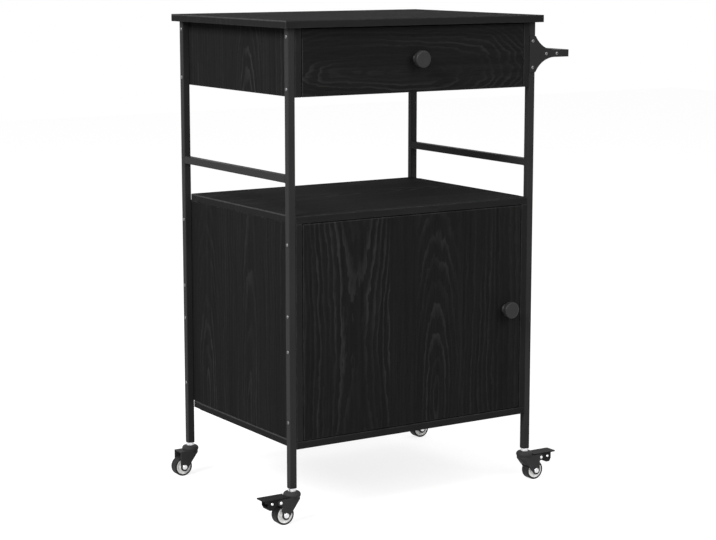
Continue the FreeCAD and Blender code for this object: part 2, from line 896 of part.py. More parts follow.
# The cheek's front edge runs from the foot of the hood's upright band to the lobe round the
# axle, as its tangent
band_foot = s.fork_top - s.hood_band
nose_x = s.fork_front + s.trail
nose_z = band_foot - s.wheel_radius
nose_square = nose_x * nose_x + nose_z * nose_z
lobe_square = s.fork_lobe_radius * s.fork_lobe_radius
along_share = lobe_square / nose_square
aside_share = s.fork_lobe_radius * root(nose_square - lobe_square) / nose_square
tangent_x = nose_x * along_share + nose_z * aside_share - s.trail
tangent_z = nose_z * along_share - nose_x * aside_share + s.wheel_radius
cheek_slope = (s.fork_front - tangent_x) / (band_foot - tangent_z)
lobe_back = -s.fork_lobe_radius - s.trail
lobe_foot = s.wheel_radius - s.fork_lobe_radius
ear_height = s.fork_top - s.ear_radius


def cheek_front(z):
    return s.fork_front - (band_foot - z) * cheek_slope


# The front is round at the band, like the head over it, and runs out towards the axle
def front_round(z):
    rise_share = (z - lobe_foot) / (band_foot - lobe_foot)
    return s.cheek_round + (s.hood_round - s.cheek_round) * rise_share


def hood_plan(body, z, front, half, corner):
    sketch = sketch_on(body, "XY_Plane", z)
    rear = -s.pedal_reach
    corners = [(rear, -half), (front - corner, -half), (front, corner - half)]
    corners += [(front, half - corner), (front - corner, half), (rear, half)]
    outline(sketch, corners, {1: (corner, False), 3: (corner, False)})
    return sketch


def fork(label, braked, x, y, turn):
    body = new_body(label)
    half = s.fork_width / 2
    band_plan = hood_plan(body, band_foot, s.fork_front, half, s.hood_round)
    pad(body, band_plan, s.hood_band)
    top_plan = hood_plan(body, band_foot, s.fork_front, half, s.hood_round)
    foot_plan = hood_plan(body, lobe_foot, cheek_front(lobe_foot), half, s.cheek_round)
    loft(body, top_plan, foot_plan)
    # All that lies below and behind the edge of the cheeks
    sketch = sketch_on(body, "XZ_Plane")
    lobe = s.fork_lobe_radius
    ear = s.ear_radius
    far = s.head_radius + s.cut_overrun
    foot = -s.cut_overrun
    rear = -s.pedal_reach - s.cut_overrun
    above = s.fork_top + s.cut_overrun
    corners = [(tangent_x, tangent_z), (-s.trail, lobe_foot), (lobe_back, s.wheel_radius)]
    arcs = {0: (lobe, True), 1: (lobe, True)}
    if braked:
        ear_low = ear_height - ear
        corners += [(lobe_back, ear_low - s.ear_blend), (lobe_back - s.ear_blend, ear_low)]
        corners += [(-s.ear_reach, ear_low), (-s.ear_reach - ear, ear_height)]
        corners += [(-s.ear_reach, s.fork_top), (-s.ear_reach, above)]
        arcs.update({3: (s.ear_blend, False), 5: (ear, True), 6: (ear, True)})
    else:
        corners += [(lobe_back, above)]
    corners += [(rear, above), (rear, foot), (far, foot), (far, tangent_z)]
    outline(sketch, corners, arcs)
    pocket(body, sketch, both_ways=True)
    # The wheel's space: open behind, below and, under the front wall, ahead
    lean = s.fork_wall * root(1 + cheek_slope * cheek_slope)
    wall_foot = s.fork_front_wall_foot
    inner_half = fork_inner_width / 2
    inner_round = s.hood_round - s.fork_wall
    ceiling_plan = hood_plan(body, fork_ceiling, s.fork_front - lean, inner_half, inner_round)
    pocket(body, ceiling_plan, fork_ceiling - band_foot)
    plans = []
    for z in (band_foot, wall_foot):
        corner = front_round(z) - s.fork_wall
        plans.append(hood_plan(body, z, cheek_front(z) - lean, inner_half, corner))
    loft(body, *plans, hollow=True)
    sketch = sketch_on(body, "XZ_Plane")
    rectangle(sketch, rear, foot, far, wall_foot)
    pocket(body, sketch, fork_inner_width, both_ways=True)
    if braked:
        sketch = sketch_on(body, "XZ_Plane")
        rectangle(sketch, rear, wall_foot, -s.hood_end, above)
        pocket(body, sketch, fork_inner_width, both_ways=True)
    head_corners = [
        (0, fork_ceiling),
        (s.head_rim_radius, fork_ceiling),
        (s.head_radius, fork_ceiling + s.head_rim_height),
        (s.head_crown_radius, s.head_top),
        (0, s.head_top),
    ]
    revolve(body, "XZ_Plane", head_corners, {2: (s.head_crown_curve, False)})
    stem_bore = s.stem_radius + s.fit_gap
    bore_depth = s.head_top - fork_ceiling + s.cut_overrun
    drill(body, "XY_Plane", [(0, 0)], stem_bore, bore_depth, offset=s.head_top)
    drill(body, "XZ_Plane", [(-s.trail, s.wheel_radius)], s.axle_radius)
    if braked:
        drill(body, "XZ_Plane", [(-s.ear_reach, ear_height)], s.brake_pin_radius)
    place(body, x, y, as_size(0), turn)
    return node(body, label)


# A pin across the fork with a low head on each cheek
def cross_pin(label, radius, head_radius, head_height, x, y, z):
    body = new_body(label)
    half = s.fork_width / 2
    outer = half + head_height
    crown_share = 0.7
    rim_share = 0.4
    rim = half + head_height * rim_share
    right = [
        (radius, half),
        (head_radius, half),
        (head_radius, rim),
        (head_radius * crown_share, outer),
        (0, outer),
    ]
    left = [(r, -across) for r, across in reversed(right)]
    revolve(body, "XY_Plane", left + right)
    place(body, x, y, z)
    return node(body, label)


# Wheel core with a recessed web, and the tyre round its rim
def wheel(label, x, y):
    core = new_body(f"{label}_wheel_core")
    bore = s.axle_radius + s.fit_gap
    hub_face = fork_inner_width / 2 - s.running_gap
    core_radius = s.wheel_radius - s.tyre_depth
    rim_face = s.wheel_width / 2 - s.running_gap
    web_face = rim_face - s.rim_recess
    rim_inner = core_radius - s.rim_depth
    upper = [
        (core_radius, rim_face),
        (rim_inner, rim_face),
        (rim_inner, web_face),
        (s.hub_radius, web_face),
        (s.hub_radius, hub_face),
        (bore, hub_face),
    ]
    lower = [(r, -across) for r, across in reversed(upper)]
    revolve(core, "XY_Plane", upper + lower)
    place(core, x, y, s.wheel_radius)
    node(core, f"{label}_wheel_core")
    tyre = new_body(f"{label}_tyre")
    half = s.wheel_width / 2
    shoulder = s.tyre_round
    tread = half - shoulder
    corners = [(core_radius, -half), (s.wheel_radius - shoulder, -half), (s.wheel_radius, -tread)]
    corners += [(s.wheel_radius, tread), (s.wheel_radius - shoulder, half), (core_radius, half)]
    revolve(tyre, "XY_Plane", corners, {1: (shoulder, False), 3: (shoulder, False)})
    place(tyre, x, y, s.wheel_radius)
    node(tyre, f"{label}_tyre")


# Brake pedal: a flat tread cut round the swivel head, a lip at one corner of its tip, two
# flanges inside the ears and a shoe between them
def brake_pedal(label, x, y, turn):
    body = new_body(label)
    tread_low = s.fork_top + s.pedal_gap
    lap = s.pedal_sheet / 2
    flange_width = fork_inner_width - 2 * s.running_gap
    flange_low = ear_height - s.flange_drop
    flange_top = tread_low + lap
    sketch = sketch_on(body, "XZ_Plane")
    corners = [(-s.flange_start, flange_top), (-s.flange_start, flange_low)]
    corners += [(-s.flange_heel, flange_low), (-s.shoe_start, s.shoe_foot)]
    corners += [(-s.shoe_end, s.shoe_foot), (-s.flange_end, flange_low), (-s.flange_end, flange_top)]
    outline(sketch, corners)
    pad(body, sketch, flange_width, both_ways=True)
    sketch = sketch_on(body, "XZ_Plane")
    shoe_top = s.shoe_foot + s.shoe_height
    rectangle(sketch, -s.pedal_reach, shoe_top, -s.pedal_root, tread_low)
    pocket(body, sketch, flange_width - 2 * s.pedal_sheet, both_ways=True)
    sketch = sketch_on(body, "XY_Plane", tread_low)
    half = s.pedal_width / 2
    corner = s.pedal_corner
    tip = -s.pedal_reach
    bay = s.head_radius + s.pedal_head_gap
    bay_half = root(bay * bay - s.pedal_root * s.pedal_root)
    corners = [(-s.pedal_root, -half), (-s.pedal_root, -bay_half), (-s.pedal_root, bay_half)]
    corners += [(-s.pedal_root, half), (tip + corner, half), (tip, half - corner)]
    corners += [(tip, corner - half), (tip + corner, -half)]
    outline(sketch, corners, {1: (bay, True), 4: (corner, False), 6: (corner, False)})
    pad(body, sketch, s.pedal_sheet)
    sketch = sketch_on(body, "XY_Plane", tread_low - s.lip_drop)
    rectangle(sketch, -s.lip_end, -half, -s.lip_start, s.pedal_sheet - half)
    pad(body, sketch, s.lip_drop + lap)
    drill(body, "XZ_Plane", [(-s.ear_reach, ear_height)], s.brake_pin_radius + s.fit_gap)
    place(body, x, y, as_size(0), turn)
    return node(body, label)


for corner, (x, y) in leg_spots.items():
    on_left = corner.endswith("left")
    braked = corner.startswith("front")
    turn = upright if on_left else half_turn
    axle_x = x - s.trail if on_left else x + s.trail
    fork(f"{corner}_fork", braked, x, y, turn)
    axle_sizes = (s.axle_radius, s.axle_head_radius, s.axle_head_height)
    cross_pin(f"{corner}_axle", *axle_sizes, axle_x, y, s.wheel_radius)
    wheel(corner, axle_x, y)
    if braked:
        brake_pedal(f"{corner}_brake_pedal", x, y, turn)
        pin_x = x - s.ear_reach if on_left else x + s.ear_reach
        pin_sizes = (s.brake_pin_radius, s.brake_pin_head_radius, s.brake_pin_head_height)
        cross_pin(f"{corner}_brake_pin", *pin_sizes, pin_x, y, ear_height)

doc.recompute()

# Nothing is written unless every feature and every piece came out sound
for item in doc.Objects:
    if "Invalid" in item.State or "Error" in item.State:
        raise RuntimeError(f"{item.Label} did not compute")
for cut in cuts:
    if cut.Shape.Volume > cut.BaseFeature.Shape.Volume - 1e-6:
        raise RuntimeError(f"{cut.Label} removes nothing")
for item in nodes:
    if item.Shape.isNull() or not item.Shape.isValid() or not item.Shape.Solids:
        raise RuntimeError(f"{item.Label} is not a sound solid")

os.makedirs("parts", exist_ok=True)
for item in nodes:
    item.Shape.exportStep(f"parts/{item.Label}.step")
print(f"{len(nodes)} pieces written")
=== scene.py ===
import json
import math
import bmesh
import bpy
from mathutils import Matrix, Vector

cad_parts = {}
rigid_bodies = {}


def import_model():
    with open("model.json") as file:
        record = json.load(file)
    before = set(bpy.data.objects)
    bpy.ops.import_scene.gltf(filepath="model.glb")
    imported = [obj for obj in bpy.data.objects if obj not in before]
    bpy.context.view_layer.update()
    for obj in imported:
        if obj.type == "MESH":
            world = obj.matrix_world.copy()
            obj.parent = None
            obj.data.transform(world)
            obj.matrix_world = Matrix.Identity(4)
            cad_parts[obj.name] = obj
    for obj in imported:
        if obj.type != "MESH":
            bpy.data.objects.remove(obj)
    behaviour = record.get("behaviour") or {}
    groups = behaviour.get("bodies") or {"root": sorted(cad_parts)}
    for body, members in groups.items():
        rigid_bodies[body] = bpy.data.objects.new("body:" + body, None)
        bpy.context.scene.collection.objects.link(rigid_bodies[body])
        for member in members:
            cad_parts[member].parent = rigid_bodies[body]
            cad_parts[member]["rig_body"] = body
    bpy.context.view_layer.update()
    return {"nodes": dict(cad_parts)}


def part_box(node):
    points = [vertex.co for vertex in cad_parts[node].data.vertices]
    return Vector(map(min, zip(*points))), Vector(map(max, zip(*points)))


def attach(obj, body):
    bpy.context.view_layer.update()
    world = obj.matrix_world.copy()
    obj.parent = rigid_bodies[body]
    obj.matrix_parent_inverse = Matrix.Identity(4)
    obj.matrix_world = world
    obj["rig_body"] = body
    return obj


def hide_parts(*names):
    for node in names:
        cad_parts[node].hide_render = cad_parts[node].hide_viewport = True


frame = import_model()
nodes = frame["nodes"]
scene = bpy.context.scene
scene.view_settings.view_transform = "Standard"
mm = 0.001
corners = ("front_left", "front_right", "back_left", "back_right")
braked = ("front_left", "front_right")
noiseMiddle = (0.3, 0.7)  # most of a noise lies in this range
noiseCentre = 0.5
print("frame loaded:", len(nodes), "nodes")


# front_left becomes frontLeft
def camel(words):
    first, *rest = words.split("_")
    return first + "".join(word.capitalize() for word in rest)


def middleOf(node):
    low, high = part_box(node)
    return (low + high) / 2


# node tree helpers: a socket given as an input is linked, anything else is set
def addNode(tree, kind, inputs=None, **settings):
    node = tree.nodes.new(kind)
    for name, value in settings.items():
        setattr(node, name, value)
    for key, value in (inputs or {}).items():
        socket = node.inputs[key]
        if isinstance(value, bpy.types.NodeSocket):
            tree.links.new(value, socket)
        else:
            socket.default_value = value
    return node


def calc(tree, operation, first, second=0.0, third=0.0):
    inputs = {0: first, 1: second, 2: third}
    return addNode(tree, "ShaderNodeMath", inputs, operation=operation).outputs[0]


def mixColour(tree, share, first, second):
    inputs = {0: share, 6: first, 7: second}
    return addNode(tree, "ShaderNodeMix", inputs, data_type="RGBA").outputs[2]


def mixValue(tree, share, first, second):
    return addNode(tree, "ShaderNodeMix", {0: share, 2: first, 3: second}).outputs[0]


def spread(tree, value, source, target=(0.0, 1.0)):
    inputs = {"Value": value, "From Min": source[0], "From Max": source[1]}
    inputs.update({"To Min": target[0], "To Max": target[1]})
    return addNode(tree, "ShaderNodeMapRange", inputs).outputs["Result"]


def noiseAt(tree, vector, scale=1.0, detail=2.0, roughness=0.5):
    inputs = {"Vector": vector, "Scale": scale, "Detail": detail, "Roughness": roughness}
    return addNode(tree, "ShaderNodeTexNoise", inputs).outputs["Fac"]


def grey(level, warmth=0.0):
    return (level * (1 + warmth), level, level * (1 - warmth), 1.0)


def newFinish(name):
    material = bpy.data.materials.new(name)
    material.use_nodes = True
    tree = material.node_tree
    tree.nodes.clear()
    output = addNode(tree, "ShaderNodeOutputMaterial")
    shader = addNode(tree, "ShaderNodeBsdfPrincipled")
    tree.links.new(shader.outputs["BSDF"], output.inputs["Surface"])
    place = addNode(tree, "ShaderNodeTexCoord").outputs["Object"]
    return material, tree, shader, place


# how the paler edges are found: partly rubbed wear, partly a painted highlight on the rounded edges
edgeWearAndHighlight = {
    "samples": 6, "turnRange": (0.99, 0.86), "patchDetail": 3.0,
    "patchRange": (0.38, 0.62), "patchLevels": (0.40, 1.0),
}


# the normals of the surface if its edges were rounded
def roundedEdges(tree, radius):
    bevel = addNode(tree, "ShaderNodeBevel", {"Radius": radius}, samples=edgeWearAndHighlight["samples"])
    return bevel.outputs["Normal"]


# the colour with its edges paler, broken up by a noise: partly rubbed wear and partly a painted highlight
# where light would catch the rounded edges
def rubbedAndHighlit(tree, place, rounded, colour, settings, patchScale):
    plain = addNode(tree, "ShaderNodeNewGeometry").outputs["Normal"]
    aligned = addNode(tree, "ShaderNodeVectorMath", {0: rounded, 1: plain}, operation="DOT_PRODUCT")
    edge = spread(tree, aligned.outputs["Value"], edgeWearAndHighlight["turnRange"])
    patches = noiseAt(tree, place, patchScale, edgeWearAndHighlight["patchDetail"])
    broken = spread(tree, patches, edgeWearAndHighlight["patchRange"], edgeWearAndHighlight["patchLevels"])
    rub = calc(tree, "MULTIPLY", edge, broken)
    return mixColour(tree, calc(tree, "MULTIPLY", rub, settings["rubShare"]), colour, settings["rub"])


# colour, gloss and shine of a finish; the gloss follows a noise
def painted(tree, shader, colour, noise, roughness, shine):
    tree.links.new(colour, shader.inputs["Base Color"])
    tree.links.new(spread(tree, noise, noiseMiddle, roughness), shader.inputs["Roughness"])
    shader.inputs["Specular IOR Level"].default_value = shine


def dentedBy(tree, shader, height, distance, strength, rounded):
    inputs = {"Height": height, "Distance": distance, "Strength": strength, "Normal": rounded}
    bump = addNode(tree, "ShaderNodeBump", inputs)
    tree.links.new(bump.outputs["Normal"], shader.inputs["Normal"])


# black stained oak veneer, laid in leaves; each leaf is a slice past a heart line, so its growth
# rings show as arches, an hourglass or straight lines. Noise scales are along and across the grain
oak = {
    "ground": grey(0.0108), "line": grey(0.0331), "pore": grey(0.0052), "band": grey(0.0204),
    "rub": grey(0.0740), "rubWidth": 2.6 * mm, "rubShare": 0.75, "rubPatch": 60.0,
    "ringGap": 7.4 * mm, "ringRise": (0.50, 0.84), "ringFall": (1.0, 0.93),
    "ringStrength": (0.25, 1.0), "sideWander": 28 * mm, "depthWander": 7 * mm, "ripple": 9.5 * mm,
    "wanderScale": (4.0, 9.0), "waverScale": (12.0, 26.0), "rippleScale": (24.0, 95.0),
    "fadeScale": (3.0, 24.0), "fibreScale": (14.0, 560.0), "streakScale": (2.5, 130.0),
    "poreScale": (55.0, 1900.0), "fineNoise": (3.0, 0.6),
    "fadeRange": (0.36, 0.60), "fadeLevels": (0.10, 1.0), "poreRange": (0.58, 0.68),
    "lineShare": 0.85, "fibreShare": 0.30, "streakShare": 0.36, "poreShare": 0.5, "bandShare": 0.7,
    "figureRange": (0.20, 1.12), "shine": 0.008, "roughness": (0.70, 0.84),
    "relief": 0.25 * mm, "reliefStrength": 0.25, "lineRelief": 0.6, "poreRelief": -0.8,
    "lip": grey(0.056), "lipWidth": 2.2 * mm, "lipLevels": (0.55, 1.0), "edgeTurn": 0.5,
}
# the flat boards whose end faces get a painted highlight along the top edge
highlightedBoards = ("worktop", "cabinet_shelf", "cabinet_base")
# leaf forms: how deep the slice lies past the heart line and how it tilts, bends and wavers, and
# how far to either side its lines fade from their force to the least
hourglass = {
    "depth": 45 * mm, "tilt": 0.0, "bend": -0.31, "waver": 0.0,
    "reach": 120 * mm, "force": 1.0, "least": 0.4,
}
arches = {
    "depth": 26 * mm, "tilt": 0.18, "bend": 0.0, "waver": 0.0,
    "reach": 44 * mm, "force": 0.95, "least": 0.12,
}
narrow = {
    "depth": 14 * mm, "tilt": 0.08, "bend": 0.0, "waver": 0.0,
    "reach": 40 * mm, "force": 0.75, "least": 0.2,
}
chevrons = {
    "depth": 10 * mm, "tilt": 0.10, "bend": 1.0, "waver": 30 * mm,
    "reach": 70 * mm, "force": 0.65, "least": 0.3,
}
straight = {
    "depth": 70 * mm, "tilt": 0.01, "bend": 0.0, "waver": 0.0,
    "reach": 300 * mm, "force": 0.5, "least": 0.2,
}
before = -1.0  # ahead of every board, for the first leaf


# veneer: for each leaf its form, where it starts and its heart line, both from the board's low
# edge across the grain, and its middle, from the board's middle along the grain
def blackOak(name, node, axes, veneer, shift=0.0):
    material, tree, shader, place = newFinish(name)
    low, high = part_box(node)
    alongAxis, acrossAxis, throughAxis = ("XYZ".index(axis) for axis in axes)
    parts = addNode(tree, "ShaderNodeSeparateXYZ", {"Vector": place}).outputs
    along, across, through = parts[alongAxis], parts[acrossAxis], parts[throughAxis]
    alongShifted = calc(tree, "ADD", along, shift)

    def grainNoise(scale, detail=2.0, roughness=0.5):
        inputs = {
            "X": calc(tree, "MULTIPLY", alongShifted, scale[0]),
            "Y": calc(tree, "MULTIPLY", across, scale[1]),
            "Z": calc(tree, "MULTIPLY", through, scale[1]),
        }
        stretched = addNode(tree, "ShaderNodeCombineXYZ", inputs).outputs[0]
        return noiseAt(tree, stretched, 1.0, detail, roughness)

    wander = calc(tree, "SUBTRACT", grainNoise(oak["wanderScale"]), noiseCentre)
    ripple = calc(tree, "SUBTRACT", grainNoise(oak["rippleScale"], *oak["fineNoise"]), noiseCentre)
    waver = calc(tree, "SUBTRACT", grainNoise(oak["waverScale"]), noiseCentre)
    warped = calc(tree, "MULTIPLY_ADD", wander, oak["sideWander"], across)
    ring, force = 0.0, 0.0
    for form, start, heart, middle in veneer:
        aside = calc(tree, "SUBTRACT", warped, low[acrossAxis] + heart)
        ahead = calc(tree, "SUBTRACT", along, (low + high)[alongAxis] / 2 + middle)
        slope = calc(tree, "MULTIPLY_ADD", ahead, form["bend"], form["tilt"])
        depth = calc(tree, "MULTIPLY_ADD", slope, ahead, form["depth"])
        depth = calc(tree, "MULTIPLY_ADD", wander, oak["depthWander"], depth)
        depth = calc(tree, "MULTIPLY_ADD", waver, form["waver"], depth)
        square = calc(tree, "MULTIPLY", depth, depth)
        leafRing = calc(tree, "SQRT", calc(tree, "MULTIPLY_ADD", aside, aside, square))
        reach = (form["reach"], form["reach"] / 2)
        leafForce = spread(tree, calc(tree, "ABSOLUTE", aside), reach, (form["least"], form["force"]))
        inLeaf = calc(tree, "GREATER_THAN", across, low[acrossAxis] + start)
        ring = mixValue(tree, inLeaf, ring, leafRing)
        force = mixValue(tree, inLeaf, force, leafForce)
    ring = calc(tree, "MULTIPLY_ADD", ripple, oak["ripple"], ring)
    ring = calc(tree, "DIVIDE", ring, oak["ringGap"])
    inRing = calc(tree, "FRACT", ring)
    # each ring has a strength of its own
    number = {"W": calc(tree, "FLOOR", ring)}
    strength = addNode(tree, "ShaderNodeTexWhiteNoise", number, noise_dimensions="1D").outputs["Value"]
    rise = spread(tree, inRing, oak["ringRise"])
    lines = calc(tree, "MULTIPLY", rise, spread(tree, inRing, oak["ringFall"]))
    lines = calc(tree, "MULTIPLY", lines, spread(tree, strength, (0.0, 1.0), oak["ringStrength"]))
    fade = spread(tree, grainNoise(oak["fadeScale"]), oak["fadeRange"], oak["fadeLevels"])
    lines = calc(tree, "MULTIPLY", calc(tree, "MULTIPLY", lines, fade), force)
    fibres = grainNoise(oak["fibreScale"], *oak["fineNoise"])
    streaks = grainNoise(oak["streakScale"])
    pores = spread(tree, grainNoise(oak["poreScale"]), oak["poreRange"])
    figure = calc(tree, "MULTIPLY", lines, oak["lineShare"])
    figure = calc(tree, "MULTIPLY_ADD", fibres, oak["fibreShare"], figure)
    figure = calc(tree, "MULTIPLY_ADD", streaks, oak["streakShare"], figure)
    colour = mixColour(tree, spread(tree, figure, oak["figureRange"]), oak["ground"], oak["line"])
    colour = mixColour(tree, calc(tree, "MULTIPLY", pores, oak["poreShare"]), colour, oak["pore"])
    # a slightly paler band covers the narrow edges
    normal = {"Vector": addNode(tree, "ShaderNodeTexCoord").outputs["Normal"]}
    facing = addNode(tree, "ShaderNodeSeparateXYZ", normal).outputs
    onEdge = calc(tree, "LESS_THAN", calc(tree, "ABSOLUTE", facing[throughAxis]), oak["edgeTurn"])
    colour = mixColour(tree, calc(tree, "MULTIPLY", onEdge, oak["bandShare"]), colour, oak["band"])
    # on the end faces of the flat boards a pale painted highlight runs along the top edge, where the key
    # light would glint on the rounded arris
    if node in highlightedBoards:
        onEnd = calc(tree, "GREATER_THAN", calc(tree, "ABSOLUTE", facing[alongAxis]), oak["edgeTurn"])
        nearTop = calc(tree, "GREATER_THAN", through, high[throughAxis] - oak["lipWidth"])
        lip = calc(tree, "MULTIPLY", onEnd, nearTop)
        lip = calc(tree, "MULTIPLY", lip, spread(tree, streaks, noiseMiddle, oak["lipLevels"]))
        colour = mixColour(tree, lip, colour, oak["lip"])
    # paler edges: partly rubbed wear, partly a painted highlight on the rounded arrises
    rounded = roundedEdges(tree, oak["rubWidth"])
    colour = rubbedAndHighlit(tree, place, rounded, colour, oak, oak["rubPatch"])
    painted(tree, shader, colour, fibres, oak["roughness"], oak["shine"])
    height = calc(tree, "MULTIPLY_ADD", lines, oak["lineRelief"], fibres)
    height = calc(tree, "MULTIPLY_ADD", pores, oak["poreRelief"], height)
    dentedBy(tree, shader, height, oak["relief"], oak["reliefStrength"], rounded)
    return material


# powder coat: a fine orange peel with a few duller patches; its edges are a little paler, partly rubbed
# wear and partly a painted highlight
coatNoise = {
    "patchScale": 14.0, "speckFiner": 4.0, "speckRange": (0.62, 0.78), "speckLevels": (0.0, 0.35),
    "rubPatch": 90.0, "speckRelief": 0.3, "peelStrength": 0.5,
    "peelNoise": (3.0, 0.55), "speckDetail": 1.0, "patchDetail": 4.0,
}


def powderCoat(name, settings):
    material, tree, shader, place = newFinish(name)
    peel = noiseAt(tree, place, settings["peelScale"], *coatNoise["peelNoise"])
    speckScale = settings["peelScale"] * coatNoise["speckFiner"]
    speck = noiseAt(tree, place, speckScale, coatNoise["speckDetail"])
    patches = noiseAt(tree, place, coatNoise["patchScale"], coatNoise["patchDetail"])
    colour = mixColour(tree, spread(tree, patches, noiseMiddle), settings["colour"], settings["dull"])
    specks = spread(tree, speck, coatNoise["speckRange"], coatNoise["speckLevels"])
    colour = mixColour(tree, specks, colour, settings["speck"])
    # paler edges: partly rubbed wear, partly a painted highlight on the rounded edges
    rounded = roundedEdges(tree, settings["rubWidth"])
    colour = rubbedAndHighlit(tree, place, rounded, colour, settings, coatNoise["rubPatch"])
    painted(tree, shader, colour, patches, settings["roughness"], settings["shine"])
    height = calc(tree, "MULTIPLY_ADD", speck, coatNoise["speckRelief"], peel)
    dentedBy(tree, shader, height, settings["peelDepth"], coatNoise["peelStrength"], rounded)
    return material


frameCoat = {
    "colour": grey(0.0216), "dull": grey(0.0275), "speck": grey(0.0478), "rub": grey(0.0653),
    "peelScale": 900.0, "peelDepth": 0.12 * mm, "rubWidth": 0.9 * mm, "rubShare": 0.45,
    "roughness": (0.44, 0.58), "shine": 0.07,
}
forkCoat = {
    "colour": grey(0.0315), "dull": grey(0.0489), "speck": grey(0.1033), "rub": grey(0.0870),
    "peelScale": 1500.0, "peelDepth": 0.06 * mm, "rubWidth": 0.6 * mm, "rubShare": 0.4,
    "roughness": (0.50, 0.66), "shine": 0.05,
}
pedalCoat = {
    "colour": grey(0.0139), "dull": grey(0.0209), "speck": grey(0.0522), "rub": grey(0.0478),
    "peelScale": 1500.0, "peelDepth": 0.06 * mm, "rubWidth": 0.6 * mm, "rubShare": 0.4,
    "roughness": (0.50, 0.66), "shine": 0.05,
}
mouldedBlack = {
    "colour": grey(0.0057), "dull": grey(0.0078), "speck": grey(0.0130), "rub": grey(0.0174),
    "peelScale": 1300.0, "peelDepth": 0.08 * mm, "rubWidth": 0.4 * mm, "rubShare": 0.3,
    "roughness": (0.5, 0.64), "shine": 0.14,
}
foilBoard = {
    "colour": grey(0.0087), "dull": grey(0.0113), "speck": grey(0.0157), "rub": grey(0.0226),
    "peelScale": 420.0, "peelDepth": 0.1 * mm, "rubWidth": 0.5 * mm, "rubShare": 0.5,
    "roughness": (0.56, 0.70), "shine": 0.05,
}
gunmetal = {
    "colour": grey(0.0139), "dull": grey(0.0226), "speck": grey(0.0391), "rub": grey(0.0609),
    "peelScale": 1100.0, "peelDepth": 0.03 * mm, "rubWidth": 0.4 * mm, "rubShare": 0.5,
    "roughness": (0.4, 0.55), "shine": 0.3,
}

# bright zinc plate: soft clouding in the gloss and fine scratches
zinc = {
    "colour": (0.74, 0.74, 0.75, 1.0), "stain": (0.50, 0.50, 0.52, 1.0), "roughness": (0.20, 0.38),
}
screwZinc = {
    "colour": (0.19, 0.19, 0.195, 1.0), "stain": (0.10, 0.10, 0.105, 1.0), "roughness": (0.36, 0.52),
}
zincNoise = {
    "cloudNoise": (420.0, 4.0, 0.6), "cloudRange": (0.45, 0.75), "scratchScale": (300.0, 300.0, 4200.0),
    "scratchDepth": 0.02 * mm, "scratchStrength": 0.3, "edgeRound": 0.25 * mm, "shine": 0.5,
}


def brightZinc(name, settings):
    material, tree, shader, place = newFinish(name)
    clouds = noiseAt(tree, place, *zincNoise["cloudNoise"])
    inputs = {"Vector": place, "Scale": zincNoise["scratchScale"]}
    scratches = noiseAt(tree, addNode(tree, "ShaderNodeMapping", inputs).outputs[0])
    stained = spread(tree, clouds, zincNoise["cloudRange"])
    colour = mixColour(tree, stained, settings["colour"], settings["stain"])
    painted(tree, shader, colour, clouds, settings["roughness"], zincNoise["shine"])
    shader.inputs["Metallic"].default_value = 1.0
    rounded = roundedEdges(tree, zincNoise["edgeRound"])
    dentedBy(tree, shader, scratches, zincNoise["scratchDepth"], zincNoise["scratchStrength"], rounded)
    return material


# turned knob: rings from the lathe about the knob's own axis, under a satin black coat
knobCoat = {
    "colour": grey(0.0144), "dull": grey(0.0213), "rub": grey(0.0566), "rubWidth": 0.8 * mm,
    "rubShare": 0.4, "rubPatch": 150.0, "ringGap": 0.55 * mm, "ringRelief": 0.4,
    "mottleNoise": (700.0, 3.0), "offAxis": (1.0, 0.0, 1.0),
    "roughness": (0.38, 0.52), "shine": 0.23, "relief": 0.03 * mm, "reliefStrength": 0.4,
}


def turnedKnob(name, node):
    material, tree, shader, place = newFinish(name)
    middle = middleOf(node)
    inputs = {0: place, 1: (middle.x, 0.0, middle.z)}
    local = addNode(tree, "ShaderNodeVectorMath", inputs, operation="SUBTRACT").outputs[0]
    inputs = {0: local, 1: knobCoat["offAxis"]}
    flat = addNode(tree, "ShaderNodeVectorMath", inputs, operation="MULTIPLY").outputs[0]
    radius = addNode(tree, "ShaderNodeVectorMath", {0: flat}, operation="LENGTH").outputs["Value"]
    rings = calc(tree, "SINE", calc(tree, "MULTIPLY", radius, 2 * math.pi / knobCoat["ringGap"]))
    mottle = noiseAt(tree, place, *knobCoat["mottleNoise"])
    colour = mixColour(tree, spread(tree, mottle, noiseMiddle), knobCoat["colour"], knobCoat["dull"])
    # paler edges: partly rubbed wear, partly a painted highlight on the rounded edges
    rounded = roundedEdges(tree, knobCoat["rubWidth"])
    colour = rubbedAndHighlit(tree, place, rounded, colour, knobCoat, knobCoat["rubPatch"])
    painted(tree, shader, colour, mottle, knobCoat["roughness"], knobCoat["shine"])
    height = calc(tree, "MULTIPLY_ADD", rings, knobCoat["ringRelief"], mottle)
    dentedBy(tree, shader, height, knobCoat["relief"], knobCoat["reliefStrength"], rounded)
    return material


